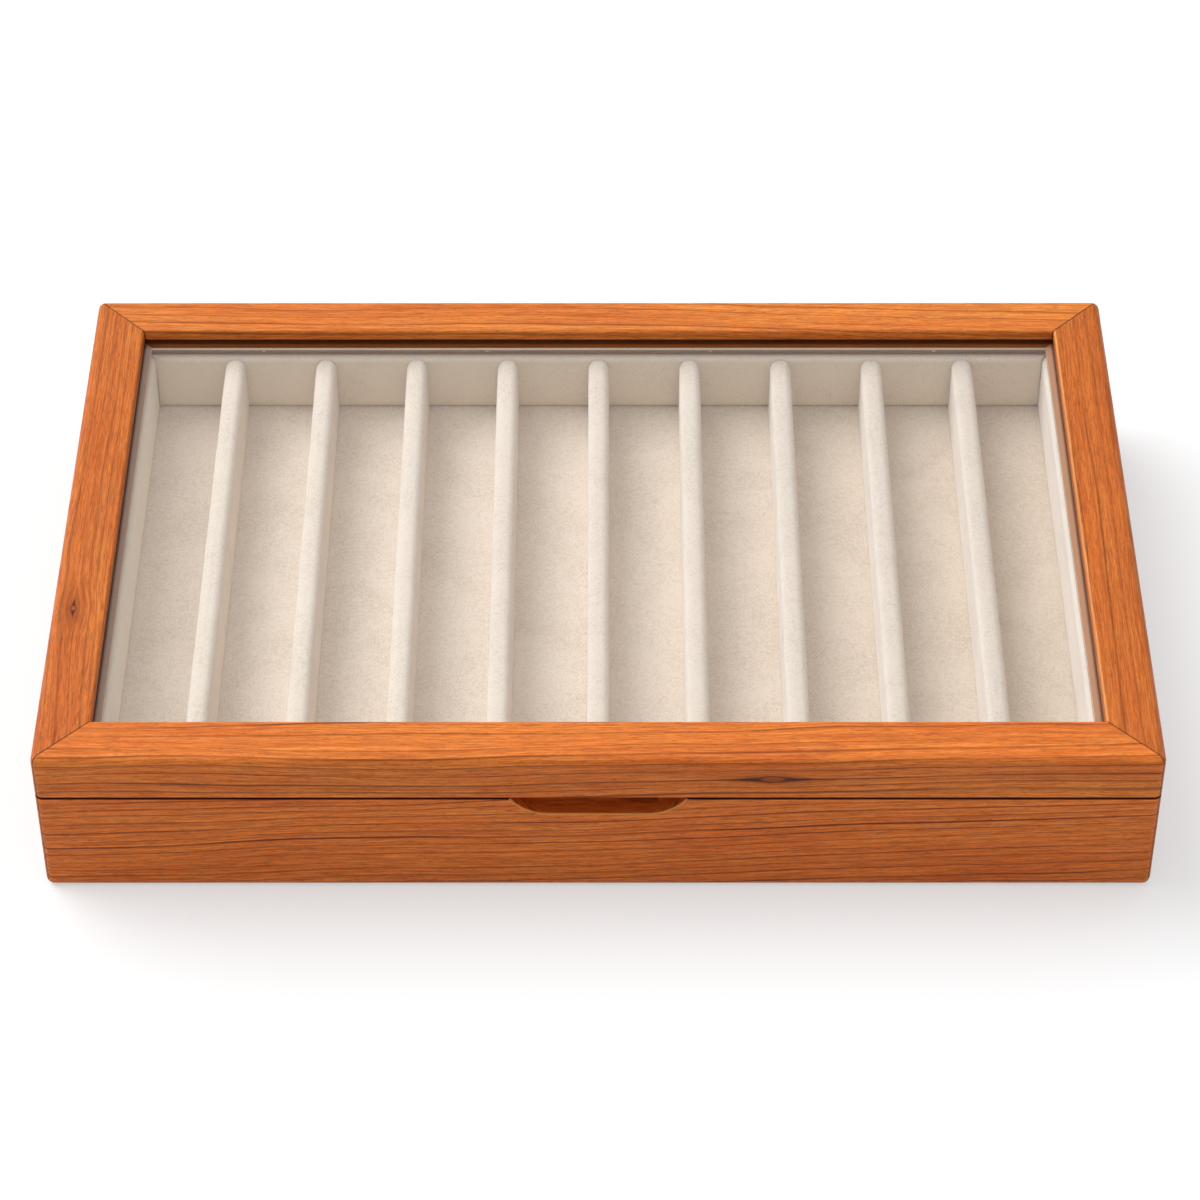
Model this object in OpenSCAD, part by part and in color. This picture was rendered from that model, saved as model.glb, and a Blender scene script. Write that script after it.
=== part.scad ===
// Wooden jewelry box with a hinged glass lid and a row of long suede compartments.
// Millimetres. X runs from left to right, Y from front to back and Z up.
// The origin is at the centre of the box's footprint, on the surface that it stands on.

/* [Case] */
// Length of the box from left to right
box_w = 360; // [300:1:420]
// Depth of the box from front to back
box_d = 233; // [180:1:280]
// Height of the case from the table to its rim
case_h = 41; // [40:0.5:55]
// Thickness of the case's walls
wall_t = 15; // [14:0.5:16]
// Radius of the upright corners
corner_r = 3; // [1:0.1:4]
// Radius of the case's bottom outer edge
base_r = 2.8; // [1:0.1:3.5]
// Radius of the eased edges where the lid meets the case
seam_r = 0.35; // [0.2:0.05:0.6]
// Thickness of the bottom panel
bottom_t = 4; // [3:0.5:5]
// Height of the bottom panel's underside above the table
bottom_z = 3; // [2.5:0.5:4]
// Depth of the groove that holds the bottom panel
groove_d = 6; // [4:0.5:8]
// Thickness of the felt glued under the bottom panel
felt_t = 1; // [0.5:0.1:1.5]

/* [Lid] */
// Height of the lid's frame
lid_h = 17.3; // [16:0.1:22]
// Width of each member of the lid's frame, seen from above
frame_w = 17.8; // [17:0.1:20]
// Thickness of the frame's lip over the glass
lip_t = 4.1; // [3:0.1:5]
// Radius of the frame's top outer edge
top_r = 2.6; // [1:0.1:3.5]
// Radius of the frame's edge beside the glass
sight_r = 1; // [0.5:0.1:1.5]
// Thickness of the glass
glass_t = 3; // [2:0.5:4]
// Thickness of the stop beads that hold the glass up
bead_t = 3; // [2.5:0.1:4]
// How far the stop beads reach past the frame's lip
bead_reveal = 2.5; // [1:0.1:3]
// Radius of the bead's lower edge on the side of the glass
bead_r = 1; // [0.5:0.1:1.5]

/* [Compartments] */
// Number of compartments in the row
columns = 10; // [4:1:12]
// Width of a covered divider
divider_w = 7.5; // [6.5:0.1:9]
// Radius of the divider's top edges
divider_r = 3; // [1.5:0.1:3.2]
// Thickness of the stiff core in a divider
core_t = 3; // [2:0.5:3.5]
// Thickness of the suede over a divider's core
divider_top_t = 1.8; // [1:0.1:2.5]
// Depth of a compartment below the tops of the dividers
column_depth = 22.2; // [16:0.1:23]
// How far the dividers' tops lie below the top of the liner
divider_drop = 0.6; // [0.5:0.1:3]

/* [Liner and floor] */
// Thickness of the liner's padded suede on its inner side
pad_t = 2.5; // [1.5:0.1:3]
// Radius of the pad's top edge
pad_r = 2.2; // [1:0.1:2.5]
// Thickness of the liner's suede on its outer side and over its top
hem_t = 0.8; // [0.5:0.1:1.2]
// Thickness of the liner's boards
liner_board_t = 3; // [2:0.5:3.5]
// How far a divider's core is let into the liner's boards
tenon_d = 1.8; // [1:0.1:1.8]
// Thickness of the suede on the floor
floor_suede_t = 1; // [0.5:0.1:2]
// Thickness of the board under the floor's suede
floor_board_t = 3; // [2:0.5:4]
// Number of battens under the floor board
battens = 5; // [3:1:7]
// Width of a batten
batten_w = 14; // [10:1:18]

/* [Finger notch] */
// Width of the notch at the rim
notch_w = 57; // [45:1:80]
// Depth of the notch below the rim
notch_h = 7.4; // [5:0.1:8.5]
// Radius of the notch's ends
notch_r = 15; // [9:0.5:18]
// Radius that eases the notch into the rim
notch_lip_r = 1.5; // [0.5:0.1:2.5]
// How far the notch reaches into the wall
notch_in = 9; // [7:0.5:10.5]
// Radius of the hollow at the back of the notch
notch_cove_r = 5; // [2:0.5:5]

/* [Hinges] */
// Angle to which the lid opens before its bevelled back edge stops it
open_angle = 95; // [85:1:100]
// Length of a hinge
hinge_l = 38; // [30:1:50]
// Distance from the box's end to the middle of a hinge
hinge_from_end = 60; // [45:1:90]
// Width of a hinge leaf, from the pin's axis to its edge
leaf_w = 9.5; // [8:0.1:9.8]
// Thickness of a hinge leaf
leaf_t = 1.2; // [1:0.1:1.5]
// Outer diameter of the hinge's knuckles
knuckle_d = 4.5; // [4:0.1:5]
// Diameter of the hinge's pin
pin_d = 2; // [1.5:0.1:2.2]
// Diameter of a hinge screw's shank
screw_d = 2.2; // [1.8:0.1:2.4]
// Diameter of a hinge screw's head
screw_head_d = 4; // [3.5:0.1:4.2]
// Length of a hinge screw
screw_l = 7; // [6:0.5:7.5]

/* [Joinery] */
// Thickness of the splines hidden in the mitres
spline_t = 2.5; // [2:0.5:3]
// Width of the splines, half of it in each member
spline_w = 7; // [5:0.5:8]
// Diameter of the brads that pin the beads
brad_d = 1.2; // [1:0.1:1.4]
// Length of a brad
brad_l = 12; // [9:0.5:14]
// Number of brads in each long bead
long_brads = 4; // [2:1:6]
// Number of brads in each short bead
short_brads = 3; // [2:1:4]

/* [Clearances] */
// Gap between the top of the liner and the beads of the closed lid
liner_clear = 0.9; // [0.6:0.1:1.5]
// Gap between the closed lid's wall and the liner that stands up inside it
lid_clear = 1; // [0.6:0.1:1.5]
// Gap round the edge of the glass
glass_clear = 0.5; // [0.3:0.1:1]
// Gap round the bottom panel in its groove
panel_clear = 0.3; // [0.2:0.1:0.8]
// Gap between padded suede pieces and their neighbours
cloth_clear = 0.1; // [0.05:0.05:0.3]
// Gap round the splines and tenons
joint_clear = 0.1; // [0.05:0.05:0.2]
// Gap between the two leaves of a closed hinge, shared by both leaves
leaf_gap = 0.2; // [0.1:0.1:0.4]
// Gap between neighbouring knuckles, and round each knuckle
knuckle_clear = 0.35; // [0.3:0.05:0.5]
// Radial gap between the pin and the knuckles that turn on it
pin_run = 0.05; // [0.03:0.01:0.08]
// Radial gap round a fixed pin, screw or brad
pin_fit = 0.02; // [0.01:0.01:0.03]
// Gap between the two bevels of the fully opened lid
stop_gap = 0.3; // [0.2:0.1:0.5]

/* [Hidden] */
$fn = 64;
cut = 1;

lid_wall_t = wall_t - lid_clear;
lid_top_z = case_h + lid_h;
glass_top_z = lid_top_z - lip_t;
glass_z = glass_top_z - glass_t;
bead_z = glass_z - bead_t;
bead_w = frame_w + bead_reveal - lid_wall_t;

liner_top_z = bead_z - liner_clear;
divider_top_z = liner_top_z - divider_drop;
floor_z = divider_top_z - column_depth;
floor_board_z = floor_z - floor_suede_t - floor_board_t;
panel_top_z = bottom_z + bottom_t;

liner_s = wall_t + cloth_clear;
liner_board_s = liner_s + hem_t;
pad_s = liner_board_s + liner_board_t;
inner_s = pad_s + pad_t;
liner_board_top_z = liner_top_z - hem_t;
core_top_z = divider_top_z - divider_top_t;

dividers = columns - 1;
inside_w = box_w - 2 * inner_s;
inside_d = box_d - 2 * inner_s;
column_pitch = (inside_w + divider_w) / columns;

hinge_s = knuckle_d / 2 + knuckle_clear;
hinge_y = box_d / 2 - hinge_s;
leaf_depth = leaf_t + leaf_gap / 2;
knuckle_l = (hinge_l - 2 * knuckle_clear) / 3;
screw_x = (hinge_l - knuckle_l) / 2;
screw_y = hinge_y - (leaf_w + hinge_s) / 2;
screw_head_h = (screw_head_d - screw_d) / 2;
bevel_angle = open_angle / 2;
bevel_shift = stop_gap / 2 / sin(bevel_angle);

LEFT = -1;
RIGHT = 1;
SIDES = ["front", "right", "back", "left"];

wood = [0.74, 0.40, 0.19];
dark_wood = [0.62, 0.31, 0.14];
ply = [0.80, 0.66, 0.46];
board = [0.66, 0.52, 0.36];
suede = [0.84, 0.78, 0.70];
felt = [0.16, 0.14, 0.13];
brass = [0.78, 0.62, 0.30];
glass = [0.75, 0.87, 0.85, 0.35];

// Length of the side numbered k, from 0 at the front and on anticlockwise
function side_l(k) = k % 2 == 0 ? box_w : box_d;

// Distance from the middle of the box to the side numbered k
function side_out(k) = (k % 2 == 0 ? box_d : box_w) / 2;

// Middle of the divider numbered i, from 1 at the left
function divider_x(i) = (i - columns / 2) * column_pitch;

// Middle of the left or right hinge
function hinge_x(end) = end * (box_w / 2 - hinge_from_end);

// Middle of item i of n that share a length l evenly
function shared(i, n, l) = ((i + 0.5) / n - 0.5) * l;

// What a round edge takes off a square corner that stands at the origin
module edge_off(r) {
    difference() {
        translate([-cut, -cut]) square(r + cut);
        translate([r, r]) circle(r);
    }
}

// A rectangle from its low corner to its high corner
module block_2d(low, high) {
    translate(low) square([high[0] - low[0], high[1] - low[1]]);
}

// A box from its low corner to its high corner
module block(low, high) {
    translate(low) cube([high[0] - low[0], high[1] - low[1], high[2] - low[2]]);
}

// A box on the middle of the footprint, s inside the outer faces on every side
module centred_box(s, low_z, high_z) {
    block([-box_w / 2 + s, -box_d / 2 + s, low_z], [box_w / 2 - s, box_d / 2 - s, high_z]);
}

// The outer shape of the box from above, with its corners rounded
module footprint(r) {
    square([box_w - 2 * r, box_d], center = true);
    square([box_w, box_d - 2 * r], center = true);
    for (x = [-1, 1], y = [-1, 1]) {
        translate([x * (box_w / 2 - r), y * (box_d / 2 - r)]) circle(r);
    }
}

// Turns a shape that is drawn for the front side to the side numbered k
module on_side(k) {
    rotate([0, 0, 90 * k]) translate([0, -side_out(k), 0]) children();
}

// Runs a section along the front edge. Its first axis points inwards and its second up.
module along(l) {
    translate([-l / 2, 0, 0]) rotate([90, 0, 90]) linear_extrude(l) children();
}

// One mitred member on side k, with its section as the child. It reaches t in from the
// outer face and lies below high_z, and its mitres are held back by gap.
module member(k, t, high_z, gap = 0) {
    l = side_l(k);
    e = l / 2 - gap;
    intersection() {
        on_side(k) along(l) children();
        on_side(k) linear_extrude(high_z + cut)
            polygon([[-e, 0], [e, 0], [e - t, t], [-e + t, t]]);
    }
}

// Places a child, drawn across a mitre, at the four corners, s inside both outer faces
module at_corners(s) {
    for (x = [-1, 1], y = [-1, 1]) {
        translate([x * (box_w / 2 - s), y * (box_d / 2 - s), 0]) rotate([0, 0, x * y * 45]) children();
    }
}

// Loose splines across the four mitres of walls that are t thick
module splines(t, low_z, high_z, gap = 0) {
    at_corners(t / 2)
        translate([-spline_t / 2 - gap, -spline_w / 2 - gap, low_z - gap])
        cube([spline_t + 2 * gap, spline_w + 2 * gap, high_z - low_z + 2 * gap]);
}

// Wedge between the bevels that the opened lid stops on. It runs along the back edge.
module back_bevel() {
    reach = hinge_s + bevel_shift + cut;
    half = reach * tan(bevel_angle);
    translate([-box_w / 2 - cut, hinge_y - bevel_shift, case_h]) rotate([90, 0, 90])
        linear_extrude(box_w + 2 * cut) polygon([[0, 0], [reach, half], [reach, -half]]);
}

// Room for both hinges in the case or the lid: the knuckles, and the leaf to the seam's side
module hinge_room(up) {
    for (end = [LEFT, RIGHT]) {
        l = hinge_l + 2 * joint_clear;
        edge_y = hinge_y - leaf_w - joint_clear;
        low_z = up > 0 ? case_h - cut : case_h - leaf_depth;
        high_z = up > 0 ? case_h + leaf_depth : case_h + cut;
        translate([hinge_x(end) - l / 2, 0, 0]) {
            block([0, edge_y, low_z], [l, box_d / 2 + cut, high_z]);
            translate([0, hinge_y, case_h]) rotate([0, 90, 0]) cylinder(h = l, d = knuckle_d + 2 * knuckle_clear);
        }
    }
}

// Pilot holes for the hinge screws, down into the case or up into the lid
module screw_pilots(up) {
    depth = screw_l + leaf_gap + pin_fit;
    for (end = [LEFT, RIGHT], x = [-screw_x, screw_x]) {
        translate([hinge_x(end) + x, screw_y, case_h - (up > 0 ? 0 : depth)])
            cylinder(h = depth, d = screw_d + 2 * pin_fit);
    }
}

// One screw with its head's flat face at the origin and its shank below
module hinge_screw() {
    point_h = screw_d;
    slot_w = screw_head_d / 6;
    difference() {
        union() {
            translate([0, 0, -screw_head_h]) cylinder(h = screw_head_h, d1 = screw_d, d2 = screw_head_d);
            translate([0, 0, -screw_l + point_h]) cylinder(h = screw_l - point_h - screw_head_h, d = screw_d);
            translate([0, 0, -screw_l]) cylinder(h = point_h, d1 = screw_d / 4, d2 = screw_d);
        }
        translate([-screw_head_d, -slot_w / 2, -slot_w]) cube([2 * screw_head_d, slot_w, slot_w + cut]);
    }
}

// All screws of the case leaves, or of the lid leaves turned over
module hinge_screws(up) {
    for (end = [LEFT, RIGHT], x = [-screw_x, screw_x]) {
        translate([hinge_x(end) + x, screw_y, case_h + up * leaf_gap])
            mirror([0, 0, up > 0 ? 1 : 0]) hinge_screw();
    }
}

// Holes for the brads in the beads and in the frame
module brad_holes(k) {
    brads(k, brad_d + 2 * pin_fit, cut, pin_fit);
}

// The brads of side k, driven outwards from the bead's face
module brads(k, d, before = 0, past = 0) {
    n = k % 2 == 0 ? long_brads : short_brads;
    inner_l = side_l(k) - 2 * (lid_wall_t + bead_w);
    for (i = [0:n - 1]) {
        on_side(k) translate([shared(i, n, inner_l), lid_wall_t + bead_w + before, bead_z + bead_t / 2])
            rotate([90, 0, 0]) cylinder(h = brad_l + before + past, d = d);
    }
}

// Section of a case wall: outer face at 0, rim at the top, groove for the bottom panel
module wall_section() {
    difference() {
        block_2d([0, 0], [wall_t, case_h]);
        edge_off(base_r);
        translate([0, case_h]) mirror([0, 1]) edge_off(seam_r);
        block_2d([wall_t - groove_d, bottom_z], [wall_t + cut, panel_top_z + joint_clear]);
    }
}

// One wall of the case, before the cuts that only some walls have
module case_wall(k) {
    difference() {
        intersection() {
            member(k, wall_t, case_h) wall_section();
            linear_extrude(case_h) footprint(corner_r);
        }
        splines(wall_t, case_spline_z(0), case_spline_z(1), joint_clear);
        back_bevel();
    }
}

// Low and high ends of the splines in the case
function case_spline_z(end) = end == 0 ? panel_top_z + spline_t : case_h - 2 * spline_t;

// Low and high ends of the splines in the lid
function lid_spline_z(end) = end == 0 ? case_h + spline_t : glass_top_z - spline_t;

// Front outline of the finger notch, with the rim at height 0
module notch_outline() {
    end_x = notch_w / 2 - sqrt(notch_r * notch_r - pow(notch_r - notch_h, 2));
    lip_dz = notch_r - notch_h + notch_lip_r;
    lip_dx = sqrt(pow(notch_r + notch_lip_r, 2) - lip_dz * lip_dz);
    touch = notch_r / (notch_r + notch_lip_r);
    block_2d([-end_x, -notch_h], [end_x, cut]);
    for (side = [0, 1]) {
        mirror([side, 0]) {
            translate([end_x, notch_r - notch_h]) circle(notch_r);
            difference() {
                block_2d([end_x, notch_r - notch_h - lip_dz * touch], [end_x + lip_dx, cut]);
                translate([end_x + lip_dx, -notch_lip_r]) circle(notch_lip_r);
            }
        }
    }
}

// Section of the finger notch through the wall, with a hollowed back
module notch_section() {
    difference() {
        block_2d([-cut, -notch_h - cut], [notch_in, 2 * notch_r]);
        translate([notch_in, -notch_h]) mirror([1, 0]) edge_off(notch_cove_r);
    }
}

// The space that the finger notch takes from the front wall
module notch_space() {
    intersection() {
        translate([0, -box_d / 2 - cut, case_h]) rotate([-90, 0, 0]) mirror([0, 1, 0])
            linear_extrude(notch_in + 2 * cut) notch_outline();
        translate([0, -box_d / 2, case_h]) along(2 * notch_w) notch_section();
    }
}

module case_front_wall() {
    color(wood) difference() {
        case_wall(0);
        notch_space();
    }
}

module case_right_wall() {
    color(wood) case_wall(1);
}

module case_back_wall() {
    color(wood) difference() {
        case_wall(2);
        hinge_room(-1);
        screw_pilots(-1);
    }
}

module case_left_wall() {
    color(wood) case_wall(3);
}

module case_bottom_panel() {
    color(ply) centred_box(wall_t - groove_d + panel_clear, bottom_z, panel_top_z);
}

module case_corner_splines() {
    color(dark_wood) splines(wall_t, case_spline_z(0), case_spline_z(1));
}

module underside_felt() {
    color(felt) centred_box(wall_t + panel_clear, bottom_z - felt_t, bottom_z);
}

// Battens from front to back, the outer two beside the end walls
module floor_battens() {
    span = box_w - 2 * (wall_t + panel_clear) - batten_w;
    y = box_d / 2 - wall_t - panel_clear;
    color(board) for (i = [0:battens - 1]) {
        x = -span / 2 + i * span / (battens - 1);
        block([x - batten_w / 2, -y, panel_top_z], [x + batten_w / 2, y, floor_board_z]);
    }
}

module floor_board() {
    color(board) centred_box(wall_t + panel_clear, floor_board_z, floor_z - floor_suede_t);
}

module floor_suede() {
    color(suede) centred_box(wall_t + panel_clear, floor_z - floor_suede_t, floor_z);
}

// Slots for the dividers' cores on side k, from depth s inwards
module core_slots(k, s) {
    w = core_t + 2 * joint_clear;
    if (k % 2 == 0) {
        for (i = [1:dividers]) {
            translate([divider_x(i) * (k == 0 ? 1 : -1), 0, 0])
                block([-w / 2, s, floor_z - cut], [w / 2, inner_s + cut, core_top_z + joint_clear]);
        }
    }
}

// One board of the liner. The long ones run past the ends of the short ones.
module liner_board(k) {
    end_s = k % 2 == 0 ? liner_board_s : pad_s + joint_clear;
    half_l = side_l(k) / 2 - end_s;
    color(board) on_side(k) difference() {
        block([-half_l, liner_board_s, floor_z], [half_l, pad_s, liner_board_top_z]);
        core_slots(k, pad_s - tenon_d - joint_clear);
    }
}

// Section of the liner's suede: over the board, down its outside and padded inside
module liner_section() {
    difference() {
        block_2d([liner_s, floor_z], [inner_s, liner_top_z]);
        translate([inner_s, liner_top_z]) mirror([1, 0]) mirror([0, 1]) edge_off(pad_r);
        translate([liner_s, liner_top_z]) mirror([0, 1]) edge_off(hem_t * 0.75);
        block_2d([liner_board_s, floor_z - cut], [pad_s, liner_board_top_z]);
    }
}

module liner_suede(k) {
    color(suede) difference() {
        member(k, inner_s, liner_top_z, cloth_clear) liner_section();
        on_side(k) core_slots(k, liner_board_s);
    }
}

// Stiff core of a divider, with a tenon at each end
module divider_core(i) {
    x = divider_x(i);
    y = inside_d / 2 + pad_t + tenon_d;
    color(board) block([x - core_t / 2, -y, floor_z], [x + core_t / 2, y, core_top_z]);
}

// Section of a divider's cover, from side to side and up
module cover_section() {
    difference() {
        block_2d([-divider_w / 2, floor_z], [divider_w / 2, divider_top_z]);
        block_2d([-core_t / 2, floor_z - cut], [core_t / 2, core_top_z]);
        for (side = [0, 1]) {
            mirror([side, 0]) translate([-divider_w / 2, divider_top_z]) mirror([0, 1]) edge_off(divider_r);
        }
    }
}

module divider_cover(i) {
    l = inside_d - 2 * cloth_clear;
    color(suede) translate([divider_x(i), l / 2, 0]) rotate([90, 0, 0]) linear_extrude(l) cover_section();
}

// Section of the lid's frame: a wall with a lip over the glass
module rail_section() {
    difference() {
        block_2d([0, case_h], [frame_w, lid_top_z]);
        block_2d([lid_wall_t, case_h - cut], [frame_w + cut, glass_top_z]);
        translate([0, case_h]) edge_off(seam_r);
        translate([0, lid_top_z]) mirror([0, 1]) edge_off(top_r);
        translate([frame_w, lid_top_z]) mirror([1, 0]) mirror([0, 1]) edge_off(sight_r);
    }
}

// One member of the lid's frame
module lid_member(k) {
    difference() {
        intersection() {
            member(k, frame_w, lid_top_z) rail_section();
            linear_extrude(lid_top_z) footprint(corner_r);
        }
        splines(lid_wall_t, lid_spline_z(0), lid_spline_z(1), joint_clear);
        brad_holes(k);
        back_bevel();
    }
}

module lid_front_rail() {
    color(wood) lid_member(0);
}

module lid_right_stile() {
    color(wood) lid_member(1);
}

module lid_back_rail() {
    color(wood) difference() {
        lid_member(2);
        hinge_room(1);
        screw_pilots(1);
    }
}

module lid_left_stile() {
    color(wood) lid_member(3);
}

module lid_corner_splines() {
    color(dark_wood) splines(lid_wall_t, lid_spline_z(0), lid_spline_z(1));
}

module glass_pane() {
    color(glass) centred_box(lid_wall_t + glass_clear, glass_z, glass_top_z);
}

// Section of a bead, square but for its lower edge beside the glass
module bead_section() {
    difference() {
        block_2d([lid_wall_t, bead_z], [lid_wall_t + bead_w, glass_z]);
        translate([lid_wall_t + bead_w, bead_z]) mirror([1, 0]) edge_off(bead_r);
    }
}

module glass_bead(k) {
    color(wood) difference() {
        member(k, lid_wall_t + bead_w, lid_top_z) bead_section();
        brad_holes(k);
    }
}

module bead_brads() {
    color(brass) for (k = [0:3]) brads(k, brad_d);
}

// One end of a knuckle's stretch of the hinge, counted from 0 to 3 in thirds
function knuckle_x(n) = -hinge_l / 2 + n * (knuckle_l + knuckle_clear);

// A cylinder along the hinge's axis over knuckle n
module knuckle(n, d, past = 0) {
    translate([knuckle_x(n) - past, hinge_y, case_h]) rotate([0, 90, 0])
        cylinder(h = knuckle_l + 2 * past, d = d);
}

// A leaf with the knuckles in mine, cleared round those in others. up is 1 on the lid.
module hinge_leaf(end, up, mine, others, bore_gap) {
    half_gap = leaf_gap / 2;
    low_z = up > 0 ? case_h + half_gap : case_h - half_gap - leaf_t;
    color(brass) translate([hinge_x(end), 0, 0]) difference() {
        union() {
            block([-hinge_l / 2, hinge_y - leaf_w, low_z], [hinge_l / 2, hinge_y, low_z + leaf_t]);
            for (n = mine) knuckle(n, knuckle_d);
        }
        for (n = mine) knuckle(n, pin_d + 2 * bore_gap, cut);
        for (n = others) {
            translate([knuckle_x(n) - knuckle_clear, 0, 0])
                block([0, hinge_y - hinge_s, case_h - hinge_s],
                    [knuckle_l + 2 * knuckle_clear, box_d, case_h + hinge_s]);
        }
        for (x = [-screw_x, screw_x]) {
            translate([x, screw_y, case_h + up * half_gap]) mirror([0, 0, up > 0 ? 1 : 0]) leaf_hole();
        }
    }
}

// A countersunk hole down from the leaf's face at the origin
module leaf_hole() {
    sunk = leaf_gap / 2;
    translate([0, 0, -leaf_t - cut]) cylinder(h = leaf_t + 2 * cut, d = screw_d + 2 * pin_fit);
    translate([0, 0, -sunk - screw_head_h - pin_fit])
        cylinder(h = screw_head_h + pin_fit, d1 = screw_d + 2 * pin_fit, d2 = screw_head_d + 4 * pin_fit);
    translate([0, 0, -sunk]) cylinder(h = sunk + cut, d = screw_head_d + 4 * pin_fit);
}

module case_leaf(end) {
    hinge_leaf(end, -1, [0, 2], [1], pin_fit);
}

module lid_leaf(end) {
    hinge_leaf(end, 1, [1], [0, 2], pin_run);
}

module hinge_pin(end) {
    color(brass) translate([hinge_x(end) - hinge_l / 2, hinge_y, case_h]) rotate([0, 90, 0])
        cylinder(h = hinge_l, d = pin_d);
}

case_front_wall();
case_back_wall();
case_left_wall();
case_right_wall();
case_bottom_panel();
case_corner_splines();
underside_felt();
floor_battens();
floor_board();
floor_suede();
for (k = [0:3]) {
    liner_board(k);
    liner_suede(k);
    glass_bead(k);
}
for (i = [1:dividers]) {
    divider_core(i);
    divider_cover(i);
}
lid_front_rail();
lid_back_rail();
lid_left_stile();
lid_right_stile();
lid_corner_splines();
glass_pane();
bead_brads();
case_leaf(LEFT);  // left_hinge_case_leaf
case_leaf(RIGHT);  // right_hinge_case_leaf
lid_leaf(LEFT);  // left_hinge_lid_leaf
lid_leaf(RIGHT);  // right_hinge_lid_leaf
hinge_pin(LEFT);  // left_hinge_pin
hinge_pin(RIGHT);  // right_hinge_pin
hinge_screws(-1);  // case_hinge_screws
hinge_screws(1);  // lid_hinge_screws
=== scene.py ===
import math

import bmesh
import bpy
from mathutils import Matrix, Vector, noise


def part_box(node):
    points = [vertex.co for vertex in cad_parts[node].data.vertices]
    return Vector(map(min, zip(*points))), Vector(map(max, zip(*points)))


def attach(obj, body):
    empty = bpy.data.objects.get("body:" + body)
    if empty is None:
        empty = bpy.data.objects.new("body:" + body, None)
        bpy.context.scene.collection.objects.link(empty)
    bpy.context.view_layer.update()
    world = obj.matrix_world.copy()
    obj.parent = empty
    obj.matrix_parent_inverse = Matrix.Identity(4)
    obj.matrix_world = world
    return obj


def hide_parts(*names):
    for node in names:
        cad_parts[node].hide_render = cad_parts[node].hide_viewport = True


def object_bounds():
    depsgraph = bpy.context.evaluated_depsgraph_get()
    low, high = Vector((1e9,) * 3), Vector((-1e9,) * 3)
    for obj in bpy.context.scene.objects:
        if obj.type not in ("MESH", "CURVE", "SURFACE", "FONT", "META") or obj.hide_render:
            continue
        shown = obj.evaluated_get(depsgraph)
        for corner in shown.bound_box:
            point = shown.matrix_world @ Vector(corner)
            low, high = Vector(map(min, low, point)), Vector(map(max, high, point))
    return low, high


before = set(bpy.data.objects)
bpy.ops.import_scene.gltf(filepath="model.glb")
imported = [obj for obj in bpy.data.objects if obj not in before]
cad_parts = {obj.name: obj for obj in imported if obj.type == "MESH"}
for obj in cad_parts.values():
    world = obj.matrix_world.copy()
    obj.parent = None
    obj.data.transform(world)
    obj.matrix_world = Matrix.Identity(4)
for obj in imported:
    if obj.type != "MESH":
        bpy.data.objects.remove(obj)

bl_info = {
    "name": "Wooden jewelry box with a glass lid",
    "version": (1, 0, 0),
    "blender": (4, 5, 0),
    "location": "3D View > Sidebar > Jewelry Box",
    "description": "Dresses the box's frame with cherry, glass, suede and brass",
    "category": "Object",
}

CAD_LOW, CAD_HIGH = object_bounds()
HALF = (CAD_HIGH - CAD_LOW) / 2
MM = 0.001
MERGE = 1e-7  # points nearer than this are one
QUARTER = math.pi / 2
X, Y, UP = Vector((1, 0, 0)), Vector((0, 1, 0)), Vector((0, 0, 1))
OUTWARD = {"front": -Y, "right": X, "back": Y, "left": -X}
ALONG = {side: UP.cross(out) for side, out in OUTWARD.items()}
SIDES = tuple(OUTWARD)
LID_MEMBERS = dict(zip(SIDES, ("lid_front_rail", "lid_right_stile", "lid_back_rail", "lid_left_stile")))
FROM_SEAM = {"case": -1, "lid": 1}  # down or up


def mesh_of(node):
    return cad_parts[node].data


def low(node):
    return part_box(node)[0]


def high(node):
    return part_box(node)[1]


def set_in(node):
    """How far in from the box's left end a piece starts and stops."""
    return [corner.x + HALF.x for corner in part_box(node)]


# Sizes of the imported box, in metres: Z is a height, and S a distance in from the nearest outer face
FRONT_Y = low("case_front_wall").y
RIM_Z = high("case_front_wall").z
LID_TOP_Z = high("lid_front_rail").z
WALL_T = high("case_front_wall").y - FRONT_Y
FRAME_W = high("lid_front_rail").y - FRONT_Y
PANEL_S = set_in("case_bottom_panel")[0]
PANEL_Z, PANEL_TOP_Z = low("case_bottom_panel").z, high("case_bottom_panel").z
FLOOR_Z = high("floor_suede").z
GLASS_Z, GLASS_TOP_Z = low("glass_pane").z, high("glass_pane").z
BEAD_Z = low("glass_bead_front").z
BEAD_S = high("glass_bead_front").y - FRONT_Y
LID_WALL_S = set_in("glass_bead_left")[0]
LINER_S, LINER_IN_S = set_in("liner_suede_left")
LINER_TOP_Z = high("liner_suede_left").z
BOARD_S, PAD_S = set_in("liner_board_left")
BOARD_TOP_Z = high("liner_board_left").z
DIVIDERS = sum(n.startswith("divider_cover_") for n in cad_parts)
PIN_Y = (low("left_hinge_pin").y + high("left_hinge_pin").y) / 2
LEAF_Y = low("left_hinge_case_leaf").y


def number(name, description, default, **kind):
    return bpy.props.FloatProperty(name=name, description=description, default=default, **kind)


def length(name, description, mm):
    return number(name, description, mm * MM, min=0, precision=5, subtype="DISTANCE", unit="LENGTH")


def share(name, description, default):
    return number(name, description, default, min=0, max=1, subtype="FACTOR")


def angle(name, description, degrees):
    return number(name, description, math.radians(degrees), subtype="ANGLE", unit="ROTATION")


def colour(name, description, default):
    return bpy.props.FloatVectorProperty(
        name=name, description=description, default=default, min=0, max=1, size=3, subtype="COLOR"
    )


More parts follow.
